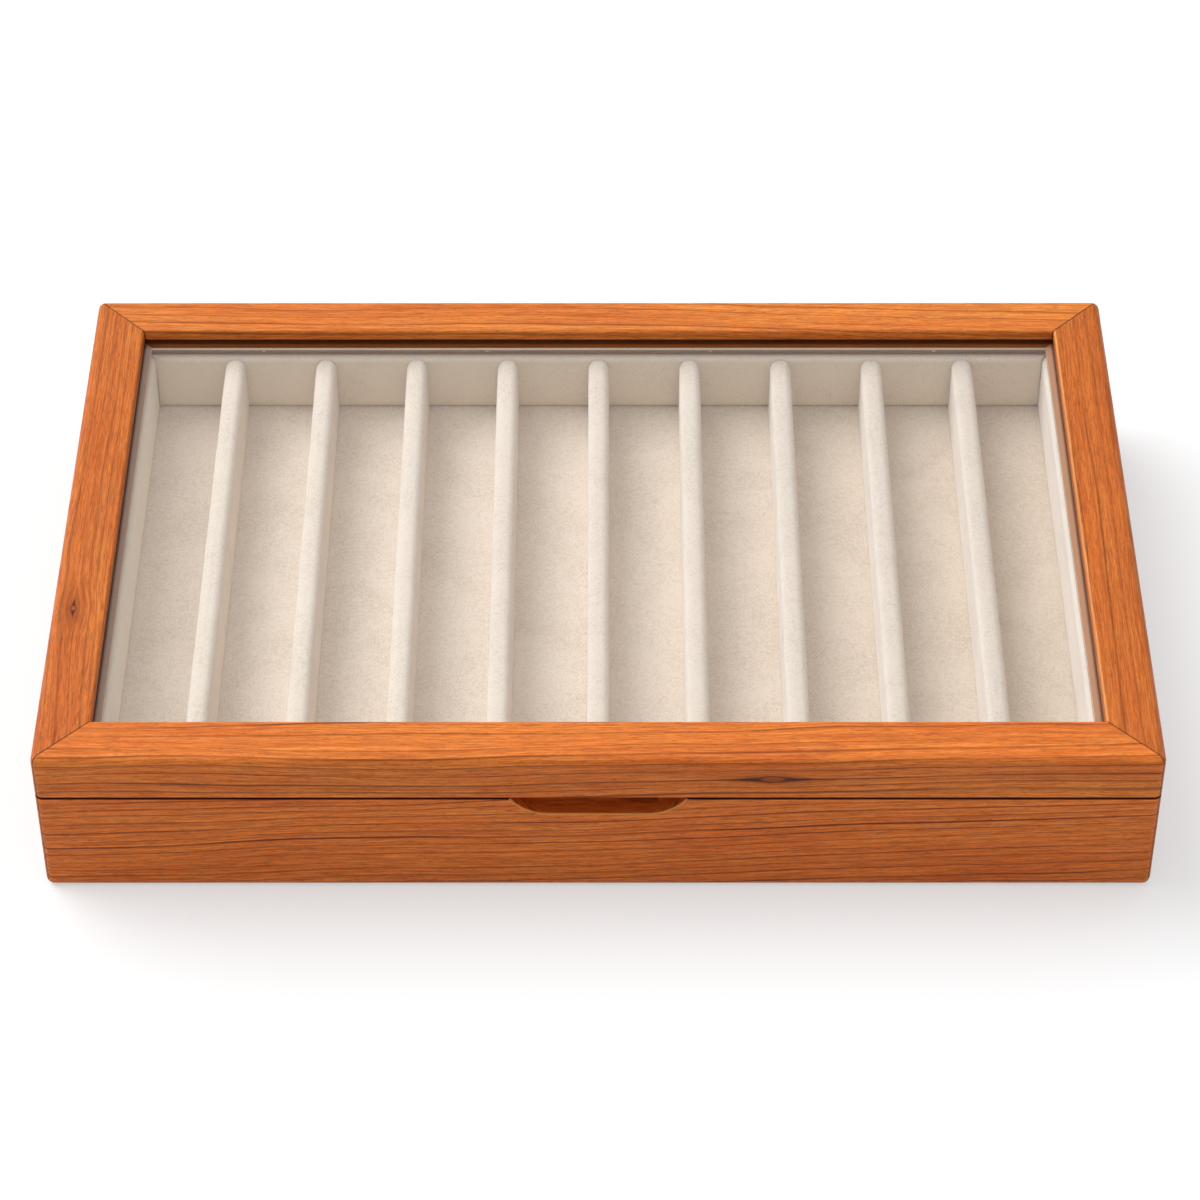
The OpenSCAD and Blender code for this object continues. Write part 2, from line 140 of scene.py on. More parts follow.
class JewelBoxSizes(bpy.types.PropertyGroup):
    """Edges, hollows and padding that the frame doesn't give"""

    outer_r: length("Outer edge", "Radius of the upright corners, the lid's top edge and the base", 2.7)
    sight_r: length("Sight edge", "Radius of the frame's edge beside the glass", 1.0)
    seam_r: length("Seam edge", "Radius of the edges where the lid meets the case", 0.35)
    seam_gap: length("Seam gap", "Height of the shadow line that each side of the seam gives", 0.5)
    seam_gap_in: length("Seam gap depth", "How far the shadow line reaches in", 1.5)
    mitre_r: length("Mitre edge", "Width of the eased edges along the mitres", 0.16)
    mitre_gap: length("Mitre gap", "Half the gap in a mitre", 0.03)
    lip_r: length("Lip edge", "Radius of the lip's edge on the glass", 0.4)
    back_bevel_drop: length("Back bevel", "How far the stop bevels reach down and up the back", 3.03)
    back_bevel_in: length("Back bevel depth", "How far the stop bevels reach in from the back", 2.81)
    bead_r: length("Bead edge", "Radius of the stop bead's edge beside the glass", 1.0)
    brad_d: length("Brad hole", "Diameter of the holes for the brads", 1.26)
    groove_up: length("Groove height", "Room over the bottom panel in its groove", 0.1)
    groove_out: length("Groove depth", "Room beside the bottom panel in its groove", 0.3)
    notch_w: length("Notch width", "Width of the finger notch at the rim", 57)
    notch_h: length("Notch height", "Depth of the finger notch below the rim", 7.4)
    notch_r: length("Notch ends", "Radius of the finger notch's ends", 15)
    notch_lip_r: length("Notch lip", "Radius that eases the notch into the rim", 1.5)
    notch_in: length("Notch depth", "How far the notch reaches into the wall", 9)
    notch_ease: length("Notch edge", "Radius of the notch's edge on the wall's face", 0.7)
    notch_cove_r: length("Notch cove", "Radius of the hollow at the notch's back", 5)
    hinge_clear: length("Hinge clearance", "Room round a hinge leaf in its recess", 0.1)
    knuckle_room: length("Knuckle room", "Diameter of the hollow round the knuckles", 5.2)
    glass_arris: length("Glass arris", "Width of the polished arris on the glass", 0.35)
    pad_r: length("Liner top", "Radius of the liner's padded top edge", 2.2)
    hem_r: length("Liner hem", "Radius of the liner's outer top edge", 0.6)
    tuck_h: length("Liner tuck", "Height at which the liner's suede turns in to the floor", 0.9)
    tuck_in: length("Liner tuck depth", "How far the liner's suede turns in at the floor", 0.8)
    liner_gap: length("Liner corner gap", "Half the gap in the liner's corners", 0.1)
    liner_ease: length("Liner corners", "Width of the rounded edges in the liner's corners", 0.45)
    divider_r: length("Divider top", "Radius of the divider's long top edges", 3.0)
    divider_foot_r: length("Divider foot", "Radius of the divider's lower edges", 0.6)
    divider_end_drop: length("Divider ends", "How far the divider's top rounds down at its ends", 0.25)
    divider_end_run: length("Divider end length", "How far from its end a divider is rounded", 3.2)
    divider_end_h: length("Divider end height", "How far below its top a divider's end rounds down", 9)
    divider_end_in: share("Divider end width", "How much narrower a divider is at its ends", 0.22)
    screw_slot_w: length("Screw slot", "Width of the slots in the screws' heads", 0.7)
    screw_slot_d: length("Screw slot depth", "Depth of the slots in the screws' heads", 0.6)
    suede_wave: length("Suede waviness", "How uneven the hand-stretched suede is", 0.16)


class JewelBoxColours(bpy.types.PropertyGroup):
    """Colours of the woods, cloths, glass and metal"""

    cherry_gold: colour("Golden cherry", "Light streaks of the cherry", (0.93, 0.400, 0.104))
    cherry_light: colour("Light cherry", "Early wood of the cherry", (0.94, 0.270, 0.044))
    cherry_mid: colour("Middle cherry", "Redder patches of the cherry", (0.84, 0.199, 0.030))
    cherry_dark: colour("Dark cherry", "Dark streaks of the cherry", (0.33, 0.060, 0.008))
    cherry_line: colour("Growth lines", "Late wood between the growth rings", (0.155, 0.029, 0.005))
    # Painted highlight on the right stile's rounded inner edge
    cherry_painted_highlight: colour("Worn edge", "Paler wood on the right stile's worn inner edge", (0.97, 0.50, 0.19))
    # These dark flecks also give the painted shade in the seam and beside the frame's lip
    cherry_fleck_and_shade: colour("Gum flecks", "Dark flecks, knots and glue lines", (0.035, 0.008, 0.003))
    # Painted shade in the finger notch's hollow
    notch_painted_shade: colour("Notch", "Tint of the finger notch's hollow", (0.72, 0.60, 0.50))
    bead: colour("Bead wood", "Pale wood of the beads under the glass", (0.52, 0.29, 0.16))
    bead_grey: colour("Bead wood, grey", "Greyed wood of the left bead", (0.44, 0.33, 0.25))
    # The next three colours are a painted highlight and painted shade on the beads' inner faces, and painted
    # shade on the back bead
    bead_painted_highlight: colour("Bead wood, lit edge", "Pale upper edge of the beads' inner faces", (0.88, 0.74, 0.60))
    bead_shade: colour("Bead wood, shaded", "Grey lower part of the beads' inner faces", (0.27, 0.21, 0.16))
    bead_back_painted_shade: colour("Bead wood, dark", "Darkened top of the back bead", (0.09, 0.03, 0.010))
    bronze: colour("Bronzed steel", "Dulled heads of the brads", (0.62, 0.50, 0.40))
    spline_wood: colour("Spline wood", "Plain hardwood of the splines", (0.26, 0.13, 0.05))
    suede_high: colour("Suede, raised nap", "Suede where its nap catches the light", (0.85, 0.765, 0.675))
    suede_low: colour("Suede, laid nap", "Suede where its nap lies flat", (0.665, 0.575, 0.480))
    suede_warm_tint: colour("Suede, warm", "Tint that warms the suede by its share", (0.97, 0.93, 0.88))
    # The next two tints are painted shade on the liner: warm on its back and left sides, and on the tops of
    # its front and right sides
    suede_liner_painted_shade_tint: colour("Suede, liner", "Tint of the liner's back and left sides", (1.0, 0.965, 0.88))
    suede_hem_painted_shade_tint: colour("Suede, liner's top", "Tint of its front and right tops", (0.88, 0.875, 0.87))
    # The next two tints are painted shade on the dividers' right faces and crowns
    suede_right_painted_shade_tint: colour("Suede, right faces", "Tint of the dividers' right faces", (0.97, 0.92, 0.86))
    suede_crown_painted_shade_tint: colour("Suede, crowns", "Tint of the dividers' rounded tops", (0.93, 0.94, 0.935))
    # The next tint is painted shade towards the floor's right end
    suede_far_painted_shade_tint: colour("Suede, right end", "Tint of the floor at its right end", (0.89, 0.87, 0.83))
    felt: colour("Felt", "Brown felt under the box", (0.055, 0.038, 0.032))
    ply_light: colour("Plywood, light", "Early wood of the plywood", (0.62, 0.44, 0.26))
    ply_dark: colour("Plywood, dark", "Late wood of the plywood", (0.44, 0.28, 0.15))
    fibreboard: colour("Fibreboard", "Pressed fibreboard", (0.36, 0.24, 0.14))
    brass: colour("Brass", "Solid brass of the hinges", (0.80, 0.58, 0.27))
    steel: colour("Steel", "Drawn steel wire", (0.56, 0.56, 0.57))
    glass: colour("Glass", "Clear float glass", (1.0, 1.0, 1.0))
    floor: colour("Studio floor", "Pale floor under the box", (0.95, 0.97, 0.975))


class JewelBoxStage(bpy.types.PropertyGroup):
    """Camera and light"""

    lens: number("Lens", "Focal length in millimetres", 115.895, unit="CAMERA")
    sensor: number("Sensor", "Width of the camera's sensor in millimetres", 36.0, unit="CAMERA")
    camera_place: bpy.props.FloatVectorProperty(
        name="Camera place", description="Where the camera stands", size=3, precision=5,
        default=(1.55 * MM, -975.57 * MM, 926.74 * MM), subtype="XYZ", unit="LENGTH",
    )
    pitch: angle("Camera pitch", "How far the camera looks down", 42.934)
    yaw: angle("Camera yaw", "How far the camera turns to the left", 0.0619)
    roll: angle("Camera roll", "How far the camera leans", -0.0502)
    key_side: angle("Key light, side", "Turn of the key light to the left of straight behind", 58)
    key_height: angle("Key light, height", "Height of the key light above the floor", 47)
    key_spread: angle("Key light, spread", "Apparent width of the key light", 50)
    key_power: number("Key light", "Strength of the key light", 2.3, min=0)
    top_spread: angle("Overhead light, spread", "Apparent width of the overhead light", 120)
    top_power: number("Overhead light", "Strength of the overhead light", 1.0, min=0)
    sky: share("Surrounding light", "Strength of the even light from all sides", 0.33)
    floor_reach: length("Floor", "How far the floor reaches from the box's middle", 4000)
    floor_bounce: share("Floor bounce", "How pale the floor is to the light that it throws on the box", 0.68)
    backdrop_lift: share("Backdrop lift", "How much the floor is lifted to white behind the box", 0.46)


# Mesh tools


def near(a, b, reach=1e-6):
    return abs(a - b) < reach


def depth_in(co):
    """How far a point lies in from the box's nearest outer face."""
    return min(HALF.x - abs(co.x), HALF.y - abs(co.y))


def ring(section):
    """A closed ring round the box. Each point of the section is a distance in and a height."""
    bm = bmesh.new()
    turns = ((-1, -1), (1, -1), (1, 1), (-1, 1))
    s, z = section[0]
    verts = [bm.verts.new((x * (HALF.x - s), y * (HALF.y - s), z)) for x, y in turns]
    first = loop = [bm.edges.new((verts[i], verts[(i + 1) % 4])) for i in range(4)]
    for s, z in section[1:]:
        made = bmesh.ops.extrude_edge_only(bm, edges=loop)["geom"]
        new = {g for g in made if isinstance(g, bmesh.types.BMVert)}
        for v in new:
            v.co = (math.copysign(HALF.x - s, v.co.x), math.copysign(HALF.y - s, v.co.y), z)
        loop = [g for g in made if isinstance(g, bmesh.types.BMEdge) and set(g.verts) <= new]
    bmesh.ops.bridge_loops(bm, edges=first + loop)
    bmesh.ops.recalc_face_normals(bm, faces=bm.faces)
    return bm


def edges_where(bm, test):
    """The edges whose two ends pass a test."""
    return [e for e in bm.edges if all(test(v.co) for v in e.verts)]


def ring_edges(bm, s, z):
    """A ring's level edges at one distance in and one height."""
    return edges_where(bm, lambda co: near(depth_in(co), s) and near(co.z, z))


def outer_edges(bm, z):
    """A ring's upright outer edges, and its level ones at one height."""
    outer = [(e, *(v.co.z for v in e.verts)) for e in edges_where(bm, lambda co: near(depth_in(co), 0))]
    return [e for e, a, b in outer if near(a, z) or not near(a, b)]


def edges_along(bm, direction, over=100 * MM):
    """The edges that run more than a length along a direction."""
    return [e for e in bm.edges if abs((e.verts[1].co - e.verts[0].co).dot(direction)) > over]


def round_edges(bm, edges, radius, segments):
    bm.normal_update()
    bmesh.ops.bevel(
        bm, geom=edges, offset=radius, offset_type="OFFSET", segments=segments, profile=0.5, affect="EDGES",
        clamp_overlap=True, material=-1,
    )


def divide(bm, edges, cuts):
    bmesh.ops.subdivide_edges(bm, edges=edges, cuts=cuts, use_grid_fill=True)


def ease_rims(bm, sizes):
    """Rounds the edges between the seam's flat face and the faces beside it."""
    bm.normal_update()
    level = lambda f: abs(f.normal.z) > 0.99 and near(f.calc_center_median().z, RIM_Z, 0.5 * MM)
    rims = []
    for e in bm.edges:
        flat = [f for f in e.link_faces if level(f)]
        start, end = (v.co for v in e.verts)
        if len(flat) != 1 or not near(start.z, end.z) or near(depth_in(start), sizes.seam_gap_in):
            continue
        if e.is_convex and e.calc_length() > 0.2 * MM and e.calc_face_angle(0) > 0.5:
            rims.append(e)
    round_edges(bm, rims, sizes.seam_r, 3)


def slice_off(bm, point, outward):
    """Cuts away what lies beyond a plane and closes the cut."""
    geom = bm.verts[:] + bm.edges[:] + bm.faces[:]
    bmesh.ops.bisect_plane(bm, geom=geom, dist=MERGE, plane_co=point, plane_no=outward, clear_outer=True)
    bmesh.ops.delete(bm, geom=[e for e in bm.edges if not e.link_faces], context="EDGES")
    bmesh.ops.edgeloop_fill(bm, edges=[e for e in bm.edges if e.is_boundary])


def member_of(whole, side, gap, ease, steps=2):
    """One mitred member of a ring, with the edges of its mitres rounded."""
    bm = whole.copy()
    out, along = OUTWARD[side], ALONG[side]
    for end in (-1, 1):
        at = out + end * along
        corner = Vector((at.x * HALF.x, at.y * HALF.y, 0)) - end * along * gap
        slice_off(bm, corner, (end * along - out).normalized())
    bmesh.ops.recalc_face_normals(bm, faces=bm.faces)
    bm.normal_update()
    mitred = lambda n: near(abs(n.dot(along)), math.sqrt(0.5), 1e-4) and near(n.z, 0) and n.dot(out) < 0
    ends = [f for f in bm.faces if mitred(f.normal)]
    # A dictionary keeps the edges in the same order each run, which a set doesn't
    edges = dict.fromkeys(e for f in ends for e in f.edges if not all(g in ends for g in e.link_faces))
    round_edges(bm, list(edges), ease, steps)
    return bm


def box_mesh(lowest, highest):
    bm = bmesh.new()
    bmesh.ops.create_cube(bm, size=1)
    lowest, highest = Vector(lowest), Vector(highest)
    bmesh.ops.scale(bm, vec=highest - lowest, verts=bm.verts)
    bmesh.ops.translate(bm, vec=(lowest + highest) / 2, verts=bm.verts)
    return bm


def rod_mesh(start, end, radius, segments):
    """A closed rod from start to end."""
    bm = bmesh.new()
    axis = end - start
    turn = UP.rotation_difference(axis).to_matrix().to_4x4()
    bmesh.ops.create_cone(
        bm, cap_ends=True, segments=segments, radius1=radius, radius2=radius, depth=axis.length,
        matrix=Matrix.Translation((start + end) / 2) @ turn,
    )
    return bm


def clusters(points, direction, reach):
    """The lowest and highest corners of groups of points that lie apart along a direction."""
    groups = {}
    for co in points:
        groups.setdefault(round(co.dot(direction) / reach), []).append(co)
    return [[Vector(map(pick, zip(*group))) for pick in (min, max)] for group in groups.values()]


def as_object(bm, name):
    bmesh.ops.recalc_face_normals(bm, faces=bm.faces)
    mesh = bpy.data.meshes.new(name)
    bm.to_mesh(mesh)
    bm.free()
    obj = bpy.data.objects.new(name, mesh)
    bpy.context.scene.collection.objects.link(obj)
    return obj


def carve(bm, cutter):
    """Takes the cutter's space out of a mesh."""
    part, tool = as_object(bm, "carved"), as_object(cutter, "cutter")
    cut = part.modifiers.new("cut", "BOOLEAN")
    cut.operation, cut.solver, cut.object = "DIFFERENCE", "EXACT", tool
    shaped = part.evaluated_get(bpy.context.evaluated_depsgraph_get())
    done = bmesh.new()
    done.from_mesh(shaped.to_mesh())
    shaped.to_mesh_clear()
    for obj in (part, tool):
        mesh = obj.data
        bpy.data.objects.remove(obj)
        bpy.data.meshes.remove(mesh)
    bmesh.ops.remove_doubles(done, verts=done.verts, dist=MERGE)
    if any(not e.is_manifold for e in done.edges):
        raise RuntimeError("a cut left the wood open")
    return done


def add_piece(bm, name, body, material, stands_for, crease=32):
    """Makes the finished object, which rides on its body and hides the frame's own piece."""
    if not bm.faces:
        raise RuntimeError(f"{name} came out empty")
    obj = as_object(bm, name)
    obj.data.shade_smooth()
    obj.data.set_sharp_from_angle(angle=math.radians(crease))
    obj.data.materials.append(material)
    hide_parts(stands_for)
    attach(obj, body)
    return obj


def add_padded(bm, node, finish):
    """Makes one padded piece of the suede."""
    add_piece(bm, f"padded_{node}", "case", finish, node, crease=60)


def add_members(whole, node_of, body, prefix, finish, work, sizes):
    """Cuts a ring into four mitred members, works each one and adds it."""
    for side in SIDES:
        part = work(member_of(whole, side, sizes.mitre_gap, sizes.mitre_r), side)
        node = node_of(side)
        piece = add_piece(part, f"{prefix}_{node}", body, finish(side), node)
        # Keeps large faces flat beside their rounded edges
        piece.modifiers.new("even_flats", "WEIGHTED_NORMAL").keep_sharp = True
    whole.free()


def uneven(bm, depth, grain, seed, soft):
    """Pushes a mesh in by a soft random depth where it is soft, as stretched cloth is."""
    bm.normal_update()
    for v in bm.verts:
        pull = depth * (0.5 + 0.5 * noise.noise(v.co / grain + Vector((seed, 3.1 * seed, 0))))
        v.co -= v.normal * pull * soft(v.co)


def add_sheet(node, name, material, cuts, grain, seed, up, sizes):
    """A finely divided sheet, uneven on its upper or under face, and its flat size."""
    lowest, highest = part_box(node)
    bm = box_mesh(lowest, highest)
    for direction, count in zip((X, Y), cuts):
        divide(bm, edges_along(bm, direction), count)
    face_z = highest.z if up else lowest.z
    uneven(bm, sizes.suede_wave, grain, seed, lambda co: near(co.z, face_z, 0.1 * MM))
    piece = add_piece(bm, name, "case", material, node, crease=60)
    return piece, (highest.x - lowest.x, highest.y - lowest.y)


# Material tools. Patterns are measured in millimetres.


SOCKETS = {
    "colour": "Base Color", "metal": "Metallic", "rough": "Roughness", "ior": "IOR", "normal": "Normal",
    "specular": "Specular IOR Level", "sheen": "Sheen Weight", "sheen_rough": "Sheen Roughness",
    "transmission": "Transmission Weight",
}


def dim(tone, factor):
    return tuple(factor * v for v in tone)


class Finish:
    """A material that is built one shader node at a time."""

    def __init__(self, name):
        scene = bpy.context.scene
        self.colours, self.sizes = scene.jewel_box_colours, scene.jewel_box_sizes
        self.material = bpy.data.materials.new(name)
        self.material.use_nodes = True
        self.tree = self.material.node_tree
        self.tree.nodes.clear()

    def add(self, kind, values=None, **settings):
        made = self.tree.nodes.new(kind)
        for key, value in settings.items():
            setattr(made, key, value)
        for key, value in (values or {}).items():
            socket = made.inputs[key]
            if isinstance(value, bpy.types.NodeSocket):
                self.tree.links.new(value, socket)
            else:
                socket.default_value = (*value[:3], 1) if socket.type == "RGBA" else value
        return made

    def maths(self, operation, *values, clamp=False):
        made = self.add("ShaderNodeMath", dict(enumerate(values)), operation=operation, use_clamp=clamp)
        return made.outputs[0]

    def times(self, *values, clamp=False):
        return self.maths("MULTIPLY", *values, clamp=clamp)

    def plus(self, *values):
        return self.maths("ADD", *values)

    def minus(self, *values):
        return self.maths("SUBTRACT", *values)

    def weighed(self, *pairs):
        """The sum of values that are each multiplied by a weight."""
        total = 0.0
        for value, weight in pairs:
            total = self.maths("MULTIPLY_ADD", value, weight, total)
        return total

    def square(self, value, reach):
        """The square of a value's share of its reach."""
        part = self.maths("DIVIDE", value, reach)
        return self.times(part, part)

    def bell(self, squared):
        return self.maths("EXPONENT", self.times(squared, -1.0))

    def vector(self, operation, *values):
        made = self.add("ShaderNodeVectorMath", dict(enumerate(values)), operation=operation)
        return made.outputs["Value" if operation in ("LENGTH", "DOT_PRODUCT") else "Vector"]

    def place(self, at=(0, 0, 0), turn=(0, 0, 0), spot=None):
        """The object's coordinates, or one spot, in millimetres, turned and moved."""
        spot = spot or self.add("ShaderNodeTexCoord").outputs["Object"]
        size = (1 / MM, 1 / MM, 1 / MM)
        values = {"Vector": spot, "Location": at, "Rotation": turn, "Scale": size}
        return self.add("ShaderNodeMapping", values).outputs[0]

    def parts(self):
        """The three coordinates of the place."""
        return self.add("ShaderNodeSeparateXYZ", {0: self.place()}).outputs[:3]

    def inwards(self):
        """How far the point lies in from the box's ends and from its long sides, and its height."""
        x, y, z = self.parts()
        in_x = self.minus(HALF.x / MM, self.maths("ABSOLUTE", x))
        return in_x, self.minus(HALF.y / MM, self.maths("ABSOLUTE", y)), z

    def noise(self, where, scale, detail=2, rough=0.5, warp=0.0, output="Fac"):
        """Noise on a place, which can have a scale for each axis."""
        if not isinstance(scale, (int, float)):
            where, scale = self.vector("MULTIPLY", where, scale), 1.0
        values = {"Vector": where, "Scale": scale, "Detail": detail, "Roughness": rough, "Distortion": warp}
        return self.add("ShaderNodeTexNoise", values, noise_dimensions="3D").outputs[output]

    def streaks(self, along, scale, detail=2, rough=0.5):
        """Noise that changes with one value only."""
        values = {"W": along, "Scale": scale, "Detail": detail, "Roughness": rough}
        return self.add("ShaderNodeTexNoise", values, noise_dimensions="1D").outputs["Fac"]

    def spread(self, value, start, end, to_start=0.0, to_end=1.0, soft=False):
        kind = "SMOOTHSTEP" if soft else "LINEAR"
        values = {0: value, 1: start, 2: end, 3: to_start, 4: to_end}
        return self.add("ShaderNodeMapRange", values, interpolation_type=kind).outputs[0]

    def grain(self, where, along, across, start, end, detail=3, rough=0.7, **levels):
        """Noise that is drawn out along the wood, spread between two levels."""
        return self.spread(self.noise(where, (along, across, across), detail, rough), start, end, **levels)

    def mix(self, share_of_b, a, b, blend="MIX"):
        values = {0: share_of_b, 6: a, 7: b}
        return self.add("ShaderNodeMix", values, data_type="RGBA", blend_type=blend).outputs[2]

    def tinted(self, tone, tint):
        return self.mix(1.0, tone, tint, blend="MULTIPLY")

    def layered(self, tone, *layers):
        """Lays colours over a tone, each with its mask and its strength."""
        for mask, strength, over in layers:
            tone = self.mix(self.times(mask, strength), tone, over)
        return tone

    def bump(self, height, distance, strength):
        values = {"Height": height, "Distance": distance, "Strength": strength}
        return self.add("ShaderNodeBump", values).outputs[0]

    def principled(self, **values):
        return self.add("ShaderNodeBsdfPrincipled", {SOCKETS[key]: value for key, value in values.items()})

    def both(self, share_of_b, a, b):
        return self.add("ShaderNodeMixShader", {0: share_of_b, 1: a.outputs[0], 2: b.outputs[0]})

    def end(self, shader):
        """Ends the material in a shader."""
        self.add("ShaderNodeOutputMaterial", {"Surface": shader.outputs[0]})
        return self.material

    def surface(self, **values):
        return self.end(self.principled(**values))


def knot_masks(m, from_knot, eye_w, eye_h, reach, pull):
    """How a pin knot bends the grain, and the masks of its swelling, its core and its dark edge."""
    along = m.maths("ABSOLUTE", m.vector("DOT_PRODUCT", from_knot, X))
    aside = m.vector("MULTIPLY", from_knot, (0, 1, 1))
    across = m.vector("LENGTH", aside)
    swell = m.bell(m.plus(m.square(along, reach[0]), m.square(across, reach[1])))
    pulled = {0: aside, "Scale": m.times(swell, pull)}
    bend = m.add("ShaderNodeVectorMath", pulled, operation="SCALE").outputs[0]
    eye = m.plus(m.square(across, eye_h), m.square(along, eye_w))
    core = m.spread(eye, 0.75, 1.15, 1.0, 0.0, soft=True)
    edge = m.bell(m.square(m.minus(eye, 1.0), 0.34))
    taper = m.plus(m.times(m.bell(m.square(along, 2.2 * eye_w)), 0.6 * eye_h), 0.2)
    tail = m.times(m.bell(m.square(across, taper)), m.bell(m.square(along, 3.4 * eye_w)))
    tail = m.times(tail, m.spread(eye, 0.9, 1.2, 0.0, 1.7), clamp=True)
    return bend, swell, core, m.maths("MAXIMUM", edge, tail)


# Cherry's mean ring, how unevenly the rings run and how far the grain sways, in millimetres
RING_W, RING_SHIFT, SWAY = 3.0, 1.3, 9


def cherry(name, side, offset, tilt, lines=1.0, tint=(1, 1, 1), knot=None, shades=()):
    """Oiled cherry whose growth rings run round an axis nearly along the member."""
    m = Finish(name)
    c = m.colours
    turn = (0, tilt[0], (0 if OUTWARD[side].y else -QUARTER) + tilt[1])
    here = m.place(offset, turn)
    sway = m.noise(here, (0.006, 0.026, 0.026), output="Color")
    sway = m.vector("MULTIPLY", m.vector("SUBTRACT", sway, (0.5, 0.5, 0.5)), (0, SWAY, SWAY))
    bent = m.vector("ADD", here, sway)
    if knot:
        centre, *knot_sizes = knot
        from_knot = m.vector("SUBTRACT", here, m.place(offset, turn, Vector(centre) * MM))
        bend, swell, knot_core, knot_edge = knot_masks(m, from_knot, *knot_sizes)
        bent = m.vector("SUBTRACT", bent, bend)
    radius = m.vector("LENGTH", m.vector("MULTIPLY", bent, (0, 1, 1)))
    phase = m.plus(m.maths("DIVIDE", radius, RING_W), m.times(m.streaks(radius, 0.16), RING_SHIFT))
    year = m.add("ShaderNodeTexWhiteNoise", {"W": m.maths("FLOOR", phase)}, noise_dimensions="1D").outputs[0]
    part = m.maths("FRACT", phase)
    # The late wood is a line near each ring's end, of its year's strength
    late = m.plus(m.times(m.maths("POWER", part, 4.0), 0.20), m.spread(part, 0.80, 0.87, 0.0, 0.85))
    late = m.times(late, m.spread(part, 0.95, 1.0, 1.0, 0.0))
    late = m.times(late, m.spread(year, 0.1, 0.9, 0.6 * lines, 1.1 * lines))
    fade = m.grain(here, 0.013, 0.22, 0.34, 0.54, detail=2, rough=0.5, to_start=0.5, soft=True)
    late = m.times(late, fade, clamp=True)
    patch = m.grain(bent, 0.010, 0.08, 0.36, 0.64, rough=0.55)
    fine = m.spread(m.streaks(radius, 0.75, detail=3, rough=0.7), 0.48, 0.60)
    streak = m.grain(bent, 0.016, 0.70, 0.38, 0.62, detail=4, rough=0.74)
    gold = m.grain(m.vector("ADD", bent, (90, 40, 70)), 0.030, 0.95, 0.50, 0.70)
    fibre = m.grain(bent, 0.10, 2.3, 0.46, 0.58)
    pores = m.grain(here, 0.33, 3.4, 0.56, 0.70, detail=2, rough=0.6)
    layers = [
        (streak, 0.30, c.cherry_dark), (fine, 0.24, c.cherry_dark), (gold, 0.30, c.cherry_gold),
        (fibre, 0.44, c.cherry_dark), (pores, 0.50, c.cherry_line), (late, 0.95, c.cherry_line),
    ]
    if knot:
        layers += [
            (m.spread(streak, 0.0, 1.0, 0.45, 0.95), swell, c.cherry_dark),
            (knot_core, 0.25, c.cherry_dark), (knot_edge, 0.86, c.cherry_fleck_and_shade),
        ]
    tone = m.tinted(m.layered(m.mix(patch, c.cherry_light, c.cherry_mid), *layers), tint)
    for shade in shades:
        tone = shade(m, tone)
    height = m.weighed((fibre, -0.5), (pores, -0.5), (late, -0.25))
    rough = m.spread(fibre, 0.0, 1.0, 0.34, 0.50)
    return m.surface(colour=tone, rough=rough, specular=0.17, normal=m.bump(height, 0.0001, 0.5))


def suede(name, seed, warmth, lift, tint):
    """Cream suede: a short nap that lies in soft patches, under a tint of painted light and shade."""
    m = Finish(name)
    c = m.colours
    here = m.place((seed * 37.0, seed * 11.0, 0))
    patch = m.noise(here, 0.05, 3, 0.55, warp=0.5)
    cloud = m.noise(here, 0.45, 3, 0.6)
    nap = m.noise(here, 1.9, 3, 0.65)
    hair = m.noise(here, 4.0, 2, 0.6)
    lie = m.weighed((patch, 0.22), (cloud, 0.18), (nap, 0.60))
    tone = m.mix(m.spread(lie, 0.42 - lift, 0.58 - lift), c.suede_low, c.suede_high)
    tone = m.mix(m.spread(hair, 0.55, 0.8, 0.0, 0.4), tone, c.suede_low)
    tone = m.mix(warmth, tone, c.suede_warm_tint, blend="MULTIPLY")
    height = m.weighed((nap, 0.65), (hair, 0.35))
    return m.surface(
        colour=m.tinted(tone, tint(m)), rough=m.spread(nap, 0.3, 0.7, 0.86, 0.97), specular=0.15,
        sheen=0.25, sheen_rough=0.55, normal=m.bump(height, 0.00022, 0.5),
    )


def sided_painted_light(m, middle, left, right, crown, top_z):
    """Painted light and shade: a tint for the faces on each side of a middle, and one for the top above
    them.
    """
    x, y, z = m.parts()
    side = m.mix(m.spread(x, middle / MM - 1, middle / MM + 1), left, right)
    return m.mix(m.spread(z, top_z / MM - 1.5, top_z / MM, 1.0, 0.0), crown, side)


def plain(name, base, layers, distance, strength, **values):
    """A plain finish whose layers are a noise's values, its two levels, its strength and its colour."""
    m = Finish(name)
    here, tone, reliefs = m.place(), base, []
    for noise_values, start, end, most, over in layers:
        reliefs.append(m.noise(here, *noise_values))
        tone = m.mix(m.spread(reliefs[-1], start, end, 0.0, most), tone, over)
    return m.surface(colour=tone, normal=m.bump(reliefs[0], distance, strength), **values)


def felt(c):
    layers = (
        ((2.4, 4, 0.75, 1.5), 0.35, 0.7, 1.0, dim(c.felt, 2.1)),
        ((0.12,), 0.35, 0.65, 0.35, dim(c.felt, 1.5)),
    )
    nap = dict(rough=0.95, specular=0.1, sheen=0.3, sheen_rough=0.6)
    return plain("brown_felt", c.felt, layers, 0.0003, 0.6, **nap)


def fibreboard(c):
    base = c.fibreboard
    layers = (((1.6, 5, 0.75, 0.7), 0.3, 0.7, 1.0, dim(base, 1.2)), ((4.0,), 0.6, 0.75, 0.5, dim(base, 0.4)))
    return plain("pressed_fibreboard", dim(base, 0.75), layers, 0.0001, 0.4, rough=0.8, specular=0.3)


